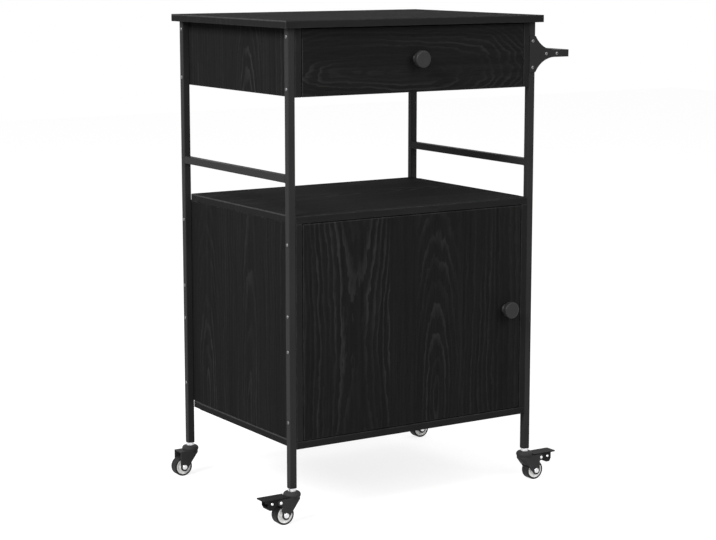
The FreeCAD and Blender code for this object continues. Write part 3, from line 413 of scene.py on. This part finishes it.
# mottled finishes: one noise sets the stains and the gloss, a finer one the relief
nylon = {
    "colour": (0.95, 0.95, 0.94, 1.0), "stain": (0.74, 0.73, 0.71, 1.0), "stainRange": (0.58, 0.84),
    "stainShare": 0.2, "noiseScale": (260.0, 260.0, 260.0), "roughness": (0.28, 0.50), "shine": 1.0,
    "reliefScale": 900.0, "relief": 0.03 * mm, "edgeRound": 0.4 * mm,
}
rubber = {
    "colour": grey(0.0122), "stain": grey(0.0313, 0.05), "stainRange": (0.5, 0.8),
    "stainShare": 0.8, "noiseScale": (180.0, 180.0, 180.0), "roughness": (0.55, 0.75), "shine": 0.2,
    "reliefScale": 1400.0, "relief": 0.05 * mm, "edgeRound": 0.4 * mm,
}
dowelBeech = {
    "colour": (0.50, 0.33, 0.19, 1.0), "stain": (0.66, 0.48, 0.30, 1.0), "stainRange": (0.3, 0.7),
    "stainShare": 1.0, "noiseScale": (900.0, 900.0, 40.0), "roughness": (0.55, 0.68), "shine": 0.3,
    "reliefScale": 1200.0, "relief": 0.05 * mm, "edgeRound": 0.5 * mm,
}
mottleNoise = {"stains": (1.0, 5.0, 0.65), "pitDetail": 3.0, "pitStrength": 0.4}


def mottled(name, settings):
    material, tree, shader, place = newFinish(name)
    inputs = {"Vector": place, "Scale": settings["noiseScale"]}
    stretched = addNode(tree, "ShaderNodeMapping", inputs).outputs[0]
    stains = noiseAt(tree, stretched, *mottleNoise["stains"])
    share = spread(tree, stains, settings["stainRange"], (0.0, settings["stainShare"]))
    colour = mixColour(tree, share, settings["colour"], settings["stain"])
    painted(tree, shader, colour, stains, settings["roughness"], settings["shine"])
    pits = noiseAt(tree, place, settings["reliefScale"], mottleNoise["pitDetail"])
    rounded = roundedEdges(tree, settings["edgeRound"])
    dentedBy(tree, shader, pits, settings["relief"], mottleNoise["pitStrength"], rounded)
    return material


steelBlack = powderCoat("steelBlack", frameCoat)
forkBlack = powderCoat("forkBlack", forkCoat)
pedalBlack = powderCoat("pedalBlack", pedalCoat)
plasticBlack = powderCoat("plasticBlack", mouldedBlack)
boardBlack = powderCoat("boardBlack", foilBoard)
steelDark = powderCoat("steelDark", gunmetal)
zincBright = brightZinc("zincBright", zinc)
zincSatin = brightZinc("zincSatin", screwZinc)
nylonWhite = mottled("nylonWhite", nylon)
rubberBlack = mottled("rubberBlack", rubber)
beech = mottled("beech", dowelBeech)

# the leaves of veneer on each kind of board: form, start, heart line and middle
doorVeneer = (
    (hourglass, before, 97 * mm, -12 * mm),
    (arches, 165 * mm, 257 * mm, 0.0),
    (straight, 305 * mm, 460 * mm, 0.0),
)
drawerVeneer = ((chevrons, before, 33 * mm, 0.0),)
sideVeneer = (
    (straight, before, -80 * mm, 0.0),
    (narrow, 100 * mm, 146 * mm, 0.0),
    (straight, 185 * mm, 60 * mm, 0.0),
    (arches, 250 * mm, 296 * mm, 0.0),
)
caseVeneer = (
    (straight, before, -70 * mm, 0.0),
    (arches, 100 * mm, 146 * mm, 0.0),
    (straight, 230 * mm, 410 * mm, 0.0),
)
flatVeneer = (
    (straight, before, -40 * mm, 0.0),
    (arches, 115 * mm, 200 * mm, 0.0),
    (hourglass, 275 * mm, 330 * mm, 0.0),
)
# for each board the axes along, across and through its grain, its leaves and a shift of its noises
boards = {
    "worktop": ("XYZ", flatVeneer, 0.0),
    "cabinet_shelf": ("XYZ", flatVeneer, 0.77),
    "cabinet_base": ("XYZ", flatVeneer, 1.31),
    "drawer_front": ("XZY", drawerVeneer, 0.0),
    "door_panel": ("ZXY", doorVeneer, 0.0),
    "left_case_panel": ("ZYX", caseVeneer, 0.0),
    "right_case_panel": ("ZYX", caseVeneer, 1.72),
    "case_back_panel": ("XZY", drawerVeneer, 2.32),
    "left_cabinet_panel": ("ZYX", sideVeneer, 0.0),
    "right_cabinet_panel": ("ZYX", sideVeneer, 1.11),
    "cabinet_back_panel": ("ZXY", doorVeneer, 1.93),
}
finishes = {name: blackOak(camel("oak_" + name), name, *facts) for name, facts in boards.items()}
for name in ("drawer_knob", "door_knob"):
    finishes[name] = turnedKnob(camel(name + "_black"), name)
sharedFinishes = (
    (steelBlack, ("left_side_rail", "right_side_rail")),
    (steelBlack, ("handle_bar", "front_handle_plate", "back_handle_plate")),
    (boardBlack, ("drawer_left_side", "drawer_right_side", "drawer_back", "drawer_base")),
    (boardBlack, ("left_drawer_runner", "right_drawer_runner")),
    (zincSatin, ("frame_screws", "handle_screws", "drawer_knob_screw", "door_knob_screw")),
    (steelDark, ("door_pivot_pins", "door_strike")),
    (plasticBlack, ("leg_sockets", "door_catch")),
    (beech, ("panel_dowels",)),
    (zincBright, ("caster_stems",)),
)
for material, names in sharedFinishes:
    finishes.update({name: material for name in names})
for corner in corners:
    finishes[f"{corner}_leg"] = steelBlack
    finishes[f"{corner}_fork"] = forkBlack
    finishes[f"{corner}_axle"] = zincBright
    finishes[f"{corner}_wheel_core"] = nylonWhite
    finishes[f"{corner}_tyre"] = rubberBlack
for corner in braked:
    finishes[f"{corner}_brake_pin"] = zincBright
    finishes[f"{corner}_brake_pedal"] = pedalBlack
for name, node in nodes.items():
    node.data.materials.clear()
    node.data.materials.append(finishes[name])
print("finishes given to", len(finishes), "nodes")


# a finished piece: shown smooth but for its sharp edges, riding on a body
sharpAngle = math.radians(35)


def addPiece(name, mesh, material, body, hides=()):
    mesh.materials.clear()
    mesh.materials.append(material)
    mesh.shade_smooth()
    mesh.set_sharp_from_angle(angle=sharpAngle)
    piece = bpy.data.objects.new(name, mesh)
    scene.collection.objects.link(piece)
    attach(piece, body)
    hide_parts(*hides)


# boxes of the separate solids in one CAD node, in no fixed order
weldDistance = 0.001 * mm


def solidBoxes(node):
    shape = bmesh.new()
    shape.from_mesh(nodes[node].data)
    bmesh.ops.remove_doubles(shape, verts=shape.verts, dist=weldDistance)
    left = set(shape.verts)
    boxes = []
    while left:
        found = [left.pop()]
        for vert in found:
            fresh = {edge.other_vert(vert) for edge in vert.link_edges} & left
            left -= fresh
            found.extend(fresh)
        spots = [vert.co for vert in found]
        low = Vector([min(spot[axis] for spot in spots) for axis in range(3)])
        high = Vector([max(spot[axis] for spot in spots) for axis in range(3)])
        boxes.append((low, high))
    shape.free()
    return boxes


# a closed turned form: profile is (radius, height) pairs about the given axis
upAxis, frontAxis, backAxis = (0, 0, 1), (0, -1, 0), (0, 1, 0)


def addTurning(shape, profile, spot, axis, count):
    turn = Vector(upAxis).rotation_difference(Vector(axis)).to_matrix()
    rings = []
    for radius, height in profile:
        ring = []
        for step in range(count if radius > 0 else 1):
            angle = 2 * math.pi * step / count
            flat = Vector((radius * math.cos(angle), radius * math.sin(angle), height))
            ring.append(shape.verts.new(Vector(spot) + turn @ flat))
        rings.append(ring)
    pairs = list(zip(rings, rings[1:]))
    if len(rings[0]) > 1:
        pairs.append((rings[-1], rings[0]))
    for first, second in pairs:
        for step in range(count):
            after = (step + 1) % count
            if len(first) == 1:
                shape.faces.new((first[0], second[after], second[step]))
            elif len(second) == 1:
                shape.faces.new((first[step], first[after], second[0]))
            else:
                shape.faces.new((first[step], first[after], second[after], second[step]))


def finishedMesh(name, shape):
    bmesh.ops.recalc_face_normals(shape, faces=shape.faces)
    mesh = bpy.data.meshes.new(name)
    shape.to_mesh(mesh)
    shape.free()
    return mesh


def turnedMesh(name, profile, spot, axis, count):
    shape = bmesh.new()
    addTurning(shape, profile, spot, axis, count)
    return finishedMesh(name, shape)


# points of a round from one angle to another, about a centre given as (radius, height)
cornerSteps = 6


def roundCorner(centre, radius, start, end):
    points = []
    for step in range(cornerSteps + 1):
        angle = math.radians(start + (end - start) * step / cornerSteps)
        points.append((centre[0] + radius * math.cos(angle), centre[1] + radius * math.sin(angle)))
    return points


# both halves of a turned profile that is the same on either side of its middle
def bothSides(upper):
    return upper + [(radius, -height) for radius, height in reversed(upper)]


# geometry node trees: named inputs for the sizes, points with a facing direction
def newTree(name, sizes):
    tree = bpy.data.node_groups.new(name, "GeometryNodeTree")
    inputs = {"Geometry": "NodeSocketGeometry"}
    inputs.update({label: "NodeSocketFloat" for label in sizes})
    inputs.update({"Seed": "NodeSocketInt", "Material": "NodeSocketMaterial"})
    for label, kind in inputs.items():
        tree.interface.new_socket(label, in_out="INPUT", socket_type=kind)
    tree.interface.new_socket("Geometry", in_out="OUTPUT", socket_type="NodeSocketGeometry")
    return tree, tree.nodes.new("NodeGroupInput").outputs


def finishTree(tree, given, form, sizeSpread=0.0):
    inputs = {"Name": "facing"}
    facing = addNode(tree, "GeometryNodeInputNamedAttribute", inputs, data_type="FLOAT_VECTOR").outputs[0]
    turned = addNode(tree, "FunctionNodeAlignRotationToVector", {"Vector": facing}, axis="Z").outputs[0]
    inputs = {2: 1 - sizeSpread, 3: 1 + sizeSpread, "Seed": given["Seed"]}
    size = addNode(tree, "FunctionNodeRandomValue", inputs, data_type="FLOAT").outputs[1]
    inputs = {"Points": given["Geometry"], "Instance": form, "Rotation": turned, "Scale": size}
    copies = addNode(tree, "GeometryNodeInstanceOnPoints", inputs).outputs[0]
    inputs = {1: (0.0, 0.0, 2 * math.pi), "Seed": given["Seed"]}
    spin = addNode(tree, "FunctionNodeRandomValue", inputs, data_type="FLOAT_VECTOR").outputs[0]
    inputs = {"Instances": copies, "Rotation": spin, "Local Space": True}
    copies = addNode(tree, "GeometryNodeRotateInstances", inputs).outputs[0]
    real = addNode(tree, "GeometryNodeRealizeInstances", {"Geometry": copies}).outputs[0]
    inputs = {"Geometry": real, "Material": given["Material"]}
    dressed = addNode(tree, "GeometryNodeSetMaterial", inputs).outputs[0]
    addNode(tree, "NodeGroupOutput", {"Geometry": dressed})
    return tree


def growMesh(name, tree, points, values):
    base = bpy.data.meshes.new(name + "Points")
    base.from_pydata([spot for spot, facing in points], [], [])
    facings = base.attributes.new("facing", "FLOAT_VECTOR", "POINT")
    for item, (spot, facing) in zip(facings.data, points):
        item.vector = facing
    holder = bpy.data.objects.new(name + "Points", base)
    scene.collection.objects.link(holder)
    modifier = holder.modifiers.new("grow", "NODES")
    modifier.node_group = tree
    for item in tree.interface.items_tree:
        if item.in_out == "INPUT" and item.name in values:
            modifier[item.identifier] = values[item.name]
    grown = holder.evaluated_get(bpy.context.evaluated_depsgraph_get())
    mesh = bpy.data.meshes.new_from_object(grown)
    mesh.name = name
    holder.modifiers.remove(modifier)
    bpy.data.objects.remove(holder)
    return mesh


# a ball flattened to the given height, for screw heads and weld ripples
def flatBall(tree, radius, height, segments, rings):
    inputs = {"Segments": segments, "Rings": rings, "Radius": radius}
    ball = addNode(tree, "GeometryNodeMeshUVSphere", inputs).outputs[0]
    inputs = {"X": 1.0, "Y": 1.0, "Z": calc(tree, "DIVIDE", height, radius)}
    squash = addNode(tree, "ShaderNodeCombineXYZ", inputs).outputs[0]
    return addNode(tree, "GeometryNodeTransform", {"Geometry": ball, "Scale": squash}).outputs[0]


def liftedBy(tree, geometry, rise):
    lift = addNode(tree, "ShaderNodeCombineXYZ", {"Z": rise}).outputs[0]
    return addNode(tree, "GeometryNodeTransform", {"Geometry": geometry, "Translation": lift}).outputs[0]


# pan head screw with a cross recess, on a shank
screwFaces = {"head": (28, 14), "shank": 16}


def screwTree():
    sizes = ("Head Radius", "Head Height", "Shank Radius", "Shank Length")
    sizes += ("Slot Width", "Slot Length", "Slot Depth")
    tree, given = newTree("crossScrew", sizes)
    solid = flatBall(tree, given["Head Radius"], given["Head Height"], *screwFaces["head"])
    tall = calc(tree, "ADD", given["Head Height"], given["Head Height"])
    rise = calc(tree, "SUBTRACT", tall, given["Slot Depth"])
    for wide, deep in (("Slot Length", "Slot Width"), ("Slot Width", "Slot Length")):
        inputs = {"X": given[wide], "Y": given[deep], "Z": tall}
        size = addNode(tree, "ShaderNodeCombineXYZ", inputs).outputs[0]
        cube = addNode(tree, "GeometryNodeMeshCube", {"Size": size}).outputs[0]
        inputs = {0: solid, 1: liftedBy(tree, cube, rise)}
        solid = addNode(tree, "GeometryNodeMeshBoolean", inputs, operation="DIFFERENCE").outputs[0]
    inputs = {"Radius": given["Shank Radius"], "Depth": given["Shank Length"]}
    inputs["Vertices"] = screwFaces["shank"]
    shank = addNode(tree, "GeometryNodeMeshCylinder", inputs).outputs[0]
    shank = liftedBy(tree, shank, calc(tree, "DIVIDE", given["Shank Length"], -2))
    whole = addNode(tree, "GeometryNodeJoinGeometry")
    for part in (solid, shank):
        tree.links.new(part, whole.inputs[0])
    return finishTree(tree, given, whole.outputs[0])


screw = {"Head Height": 1.6 * mm, "Shank Radius": 1.75 * mm}
screw.update({"Slot Width": 0.75 * mm, "Slot Length": 3.1 * mm, "Slot Depth": 0.9 * mm, "Seed": 7})
screw["Material"] = zincSatin
crossScrew = screwTree()
for node, axis in (("frame_screws", 0), ("handle_screws", 1)):
    points = []
    for low, high in solidBoxes(node):
        middle = (low + high) / 2
        outward = math.copysign(1.0, middle[axis])
        seat = middle.copy()
        seat[axis] = (high if outward > 0 else low)[axis] - outward * screw["Head Height"]
        facing = Vector()
        facing[axis] = outward
        points.append((seat, facing))
        screw["Head Radius"] = (high.z - low.z) / 2
        screw["Shank Length"] = high[axis] - low[axis] - screw["Head Height"]
    name = camel(node)
    mesh = growMesh(name, crossScrew, points, screw)
    addPiece(name, mesh, zincSatin, "frame", [node])
    print(name, len(points), "screws")


# weld beads where the side rails meet the legs: rows of small flattened ripples
weld = {"Bead Radius": 1.5 * mm, "Bead Height": 0.7 * mm, "Seed": 3, "Material": steelBlack}
weldRow = {"pitch": 0.75 * mm, "inset": 1.6 * mm, "faces": (12, 6), "sizeSpread": 0.12}


def beadTree():
    tree, given = newTree("weldBead", ("Bead Radius", "Bead Height"))
    ripple = flatBall(tree, given["Bead Radius"], given["Bead Height"], *weldRow["faces"])
    return finishTree(tree, given, ripple, weldRow["sizeSpread"])


points = []
for rail in ("left_side_rail", "right_side_rail"):
    low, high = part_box(rail)
    steps = round((high.x - low.x - 2 * weldRow["inset"]) / weldRow["pitch"])
    for endY, inward in ((low.y, 1.0), (high.y, -1.0)):
        for edgeZ, upward in ((low.z, -1.0), (high.z, 1.0)):
            facing = Vector((0.0, inward, upward)).normalized()
            for step in range(steps + 1):
                x = low.x + weldRow["inset"] + step * weldRow["pitch"]
                points.append((Vector((x, endY, edgeZ)), facing))
mesh = growMesh("railWelds", beadTree(), points, weld)
addPiece("railWelds", mesh, steelBlack, "frame")
print("railWelds", len(points), "ripples")


# rivets that hold the brake springs in the pedal flanges
rivet = {"Head Radius": 2.5 * mm, "Crown Radius": 1.8 * mm, "Head Height": 1.0 * mm}
rivet.update({"Seed": 5, "Material": zincBright})
rivetPlace = {"pastPin": 15.0 * mm, "flangeFace": 10.4 * mm, "sides": 40}


def rivetTree():
    tree, given = newTree("pedalRivet", ("Head Radius", "Crown Radius", "Head Height"))
    inputs = {"Vertices": rivetPlace["sides"], "Depth": given["Head Height"]}
    inputs.update({"Radius Top": given["Crown Radius"], "Radius Bottom": given["Head Radius"]})
    return finishTree(tree, given, addNode(tree, "GeometryNodeMeshCone", inputs).outputs[0])


pedalRivet = rivetTree()
for corner in braked:
    pin = middleOf(f"{corner}_brake_pin")
    outward = math.copysign(1.0, pin.x)
    points = []
    for side in (-1.0, 1.0):
        spot = (pin.x + outward * rivetPlace["pastPin"], pin.y + side * rivetPlace["flangeFace"], pin.z)
        points.append((Vector(spot), Vector((0.0, side, 0.0))))
    name = camel(corner.removeprefix("front_") + "_pedal_rivets")
    mesh = growMesh(name, pedalRivet, points, rivet)
    addPiece(name, mesh, zincBright, f"{corner}_pedal")
print("pedal rivets made")

# nylon washers on the door pins, in the gaps above and below the door
washer = {"radius": 4.6 * mm, "bore": 2.1 * mm, "play": 0.2 * mm, "edge": 0.15 * mm, "count": 48}
pin = middleOf("door_pivot_pins")
doorLow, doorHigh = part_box("door_panel")
shape = bmesh.new()
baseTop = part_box("cabinet_base")[1].z
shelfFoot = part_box("cabinet_shelf")[0].z
for low, high in ((baseTop, doorLow.z), (doorHigh.z, shelfFoot)):
    half = (high - low) / 2 - washer["play"]
    outer, edge = washer["radius"], washer["edge"]
    upper = [(washer["bore"], half), (outer - edge, half), (outer, half - edge)]
    spot = (pin.x, pin.y, (low + high) / 2)
    addTurning(shape, bothSides(upper), spot, upAxis, washer["count"])
mesh = finishedMesh("pivotWashers", shape)
addPiece("pivotWashers", mesh, plasticBlack, "frame")

# two steel pole plates in the face of the magnet catch, and the screws that hold it
catch = {
    "plateHeight": 2.2 * mm, "endInset": 6.0 * mm, "rise": 3.0 * mm, "proud": 0.12 * mm,
    "bevel": 0.05 * mm, "screwInset": 5.0 * mm, "screwLength": 10.0 * mm,
}
low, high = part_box("door_catch")
middle = middleOf("door_catch")
shape = bmesh.new()
for z in (low.z + catch["rise"], high.z - catch["rise"]):
    size = (high.x - low.x - 2 * catch["endInset"], 2 * catch["proud"], catch["plateHeight"], 1.0)
    place = Matrix.Translation((middle.x, low.y, z)) @ Matrix.Diagonal(size)
    bmesh.ops.create_cube(shape, size=1.0, matrix=place)
bmesh.ops.bevel(shape, geom=shape.edges[:], offset=catch["bevel"], segments=1, affect="EDGES")
addPiece("catchPlates", finishedMesh("catchPlates", shape), steelDark, "frame")
points = []
for x in (low.x + catch["screwInset"], high.x - catch["screwInset"]):
    points.append((Vector((x, middle.y, low.z)), -Vector(upAxis)))
mesh = growMesh("catchScrews", crossScrew, points, {**screw, "Shank Length": catch["screwLength"]})
addPiece("catchScrews", mesh, zincSatin, "frame")
print("door fittings made")

# turned knobs: small foot, concave neck, flat disc with a shallow dish
knobForm = {
    "footShare": 0.57, "footRise": 2.5 * mm, "footEdge": 0.4 * mm, "neckShare": 0.40,
    "waistShare": 0.45, "discRise": 13.0 * mm, "edge": 2.2 * mm, "dish": 0.5 * mm,
    "dishShares": (0.55, 0.4), "steps": 14, "count": 96,
}


def knobProfile(radius, reach):
    foot, neck = radius * knobForm["footShare"], radius * knobForm["neckShare"]
    low, high, edge = knobForm["footRise"], knobForm["discRise"], knobForm["edge"]
    footEdge, waist = knobForm["footEdge"], knobForm["waistShare"]
    profile = [(0.0, 0.0), (foot - footEdge, 0.0), (foot, footEdge), (foot, low)]
    for step in range(1, knobForm["steps"] + 1):
        share = step / knobForm["steps"]
        if share < waist:
            swell = foot + (neck - foot) * math.sin(share / waist * math.pi / 2)
        else:
            turn = (share - waist) / (1 - waist) * math.pi / 2
            swell = radius + (neck - radius) * math.cos(turn)
        profile.append((swell, low + (high - low) * share))
    profile += roundCorner((radius - edge, reach - edge), edge, 0, 90)
    dishRadius, dishShare = knobForm["dishShares"]
    dish = knobForm["dish"]
    return profile + [(radius * dishRadius, reach - dish * dishShare), (0.0, reach - dish)]


for node, body in (("drawer_knob", "drawer"), ("door_knob", "door")):
    low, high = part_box(node)
    middle = middleOf(node)
    profile = knobProfile((high.x - low.x) / 2, high.y - low.y)
    seat = (middle.x, high.y, middle.z)
    mesh = turnedMesh(camel(node), profile, seat, frontAxis, knobForm["count"])
    addPiece(camel(node), mesh, finishes[node], body, [node])
print("knobs turned")

# wheels: a tyre with a mould line on a recessed nylon core
wheelForm = {
    "shoulder": 1.6 * mm, "mould": 0.12 * mm, "mouldWidth": 0.5 * mm, "rim": 2.2 * mm,
    "rimSet": 0.3 * mm, "recess": 0.8 * mm, "hub": 5.6 * mm, "bore": 2.55 * mm,
    "soft": 0.5 * mm, "count": 96,
}


def tyreProfile(core, outer, half):
    shoulder, soft, mouldWidth = wheelForm["shoulder"], wheelForm["soft"], wheelForm["mouldWidth"]
    profile = [(core, -half + soft), (core + soft, -half)]
    profile += roundCorner((outer - shoulder, shoulder - half), shoulder, -90, 0)
    profile += [(outer, -mouldWidth), (outer - wheelForm["mould"], 0.0), (outer, mouldWidth)]
    profile += roundCorner((outer - shoulder, half - shoulder), shoulder, 0, 90)
    return profile + [(core + soft, half), (core, half - soft)]


def coreProfile(core, face, hubFace):
    soft, hub = wheelForm["soft"], wheelForm["hub"]
    web = face - wheelForm["recess"]
    inner = core - wheelForm["rim"]
    upper = [(core, face - soft), (core - soft, face), (inner + soft, face), (inner, face - soft)]
    upper += [(inner - soft, web + soft / 2), (inner - 2 * soft, web), (hub + 2 * soft, web)]
    upper += [(hub + soft / 2, web + soft), (hub, web + 2 * soft), (hub, hubFace - soft)]
    return bothSides(upper + [(hub - soft, hubFace), (wheelForm["bore"], hubFace)])


for corner in corners:
    low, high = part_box(f"{corner}_tyre")
    coreLow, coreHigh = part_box(f"{corner}_wheel_core")
    outer, half = (high.z - low.z) / 2, (high.y - low.y) / 2
    core, hubFace = (coreHigh.z - coreLow.z) / 2, (coreHigh.y - coreLow.y) / 2
    face = half - wheelForm["rimSet"]
    middle = middleOf(f"{corner}_tyre")
    turned = (
        ("tyre", tyreProfile(core, outer, half), rubberBlack, "tyre_black"),
        ("wheel_core", coreProfile(core, face, hubFace), nylonWhite, "wheel_white"),
    )
    for piece, profile, material, slot in turned:
        node = f"{corner}_{piece}"
        mesh = turnedMesh(camel(node), profile, middle, backAxis, wheelForm["count"])
        addPiece(camel(node), mesh, material, f"{corner}_wheel", [node])

# axles and brake pins: a shank between two low heads, each with a turned dimple
pinForm = {"rim": 0.5 * mm, "crownShares": (0.86, 0.62), "crownDrop": 0.25 * mm, "count": 64}
axle = {
    "headShare": 0.92, "shank": 2.5 * mm, "head": 1.6 * mm,
    "dimple": 1.5 * mm, "dimpleDepth": 0.35 * mm,
}
brakePin = {
    "headShare": 1.0, "shank": 2.0 * mm, "head": 1.2 * mm,
    "dimple": 0.9 * mm, "dimpleDepth": 0.25 * mm,
}
pins = [(f"{corner}_axle", axle) for corner in corners]
pins += [(f"{corner}_brake_pin", brakePin) for corner in braked]
for node, form in pins:
    low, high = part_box(node)
    radius, outer = form["headShare"] * (high.z - low.z) / 2, (high.y - low.y) / 2
    seat = outer - form["head"]
    outerShare, innerShare = pinForm["crownShares"]
    dimpleFoot = outer - form["dimpleDepth"]
    upper = [(0.0, dimpleFoot), (form["dimple"] * innerShare, dimpleFoot)]
    upper += [(form["dimple"], outer), (radius * innerShare, outer)]
    upper += [(radius * outerShare, outer - pinForm["crownDrop"]), (radius, seat + pinForm["rim"])]
    upper += [(radius, seat), (form["shank"], seat)]
    mesh = turnedMesh(camel(node), bothSides(upper), middleOf(node), backAxis, pinForm["count"])
    addPiece(camel(node), mesh, zincBright, nodes[node]["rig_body"], [node])
print("wheels and pins turned")

# studio: pale floor, white surround, a key light high on the left, a soft front and a top light
studio = {
    "surround": 1.0, "ambient": 0.44, "floorColour": grey(0.365), "floorFleck": grey(0.383),
    "fleckNoise": (30.0, 3.0), "floorLift": 0.81, "floorSize": 14.0, "aim": (0.0, 0.0, 0.42),
    "lights": (
        ("keyLight", (-3.0, -0.9, 2.5), 1.5, 128.0),
        ("topLight", (0.3, 0.2, 3.2), 2.2, 18.0),
        ("frontLight", (0.5, -2.9, 2.1), 1.8, 37.0),
    ),
}


# 1 for what the camera, a reflection or a see-through surface looks at
def seenRays(tree):
    rays = addNode(tree, "ShaderNodeLightPath").outputs
    seen = calc(tree, "MAXIMUM", rays["Is Camera Ray"], rays["Is Glossy Ray"])
    return calc(tree, "MAXIMUM", seen, rays["Is Transmission Ray"])


world = bpy.data.worlds.new("surround")
world.use_nodes = True
scene.world = world
tree = world.node_tree
tree.nodes.clear()
level = spread(tree, seenRays(tree), (0.0, 1.0), (studio["ambient"], studio["surround"]))
background = addNode(tree, "ShaderNodeBackground", {"Color": grey(1.0), "Strength": level})
addNode(tree, "ShaderNodeOutputWorld", {"Surface": background.outputs[0]})

floorMesh = bpy.data.meshes.new("floor")
half = studio["floorSize"] / 2
floorCorners = [(-half, -half, 0), (half, -half, 0), (half, half, 0), (-half, half, 0)]
floorMesh.from_pydata(floorCorners, [], [(0, 1, 2, 3)])
floor = bpy.data.objects.new("floor", floorMesh)
scene.collection.objects.link(floor)
paper = bpy.data.materials.new("floorPaper")
paper.use_nodes = True
tree = paper.node_tree
tree.nodes.clear()
place = addNode(tree, "ShaderNodeTexCoord").outputs["Object"]
fleck = noiseAt(tree, place, *studio["fleckNoise"])
tone = mixColour(tree, fleck, studio["floorColour"], studio["floorFleck"])
matt = addNode(tree, "ShaderNodeBsdfDiffuse", {"Color": tone})
lift = calc(tree, "MULTIPLY", seenRays(tree), studio["floorLift"])
glow = addNode(tree, "ShaderNodeEmission", {"Strength": lift})
both = addNode(tree, "ShaderNodeAddShader", {0: matt.outputs[0], 1: glow.outputs[0]})
addNode(tree, "ShaderNodeOutputMaterial", {"Surface": both.outputs[0]})
floorMesh.materials.append(paper)

for name, spot, size, power in studio["lights"]:
    lamp = bpy.data.lights.new(name, "AREA")
    lamp.size = size
    lamp.energy = power
    light = bpy.data.objects.new(name, lamp)
    scene.collection.objects.link(light)
    light.location = spot
    light.rotation_mode = "QUATERNION"
    light.rotation_quaternion = (Vector(studio["aim"]) - Vector(spot)).to_track_quat("-Z", "Y")
print("studio lit")

# camera at the photograph's angle, fitted to its straight edges
view = {
    "spot": (-1.7674, -2.7398, 0.9065), "azimuth": 32.699, "pitch": 9.426,
    "lens": 96.9, "sensor": 36.0, "near": 0.05, "far": 60.0,
}
lens = bpy.data.cameras.new("camera")
lens.lens = view["lens"]
lens.sensor_width = view["sensor"]
lens.clip_start = view["near"]
lens.clip_end = view["far"]
camera = bpy.data.objects.new("camera", lens)
scene.collection.objects.link(camera)
camera.location = view["spot"]
camera.rotation_euler = (math.radians(90 - view["pitch"]), 0.0, math.radians(-view["azimuth"]))
scene.camera = camera
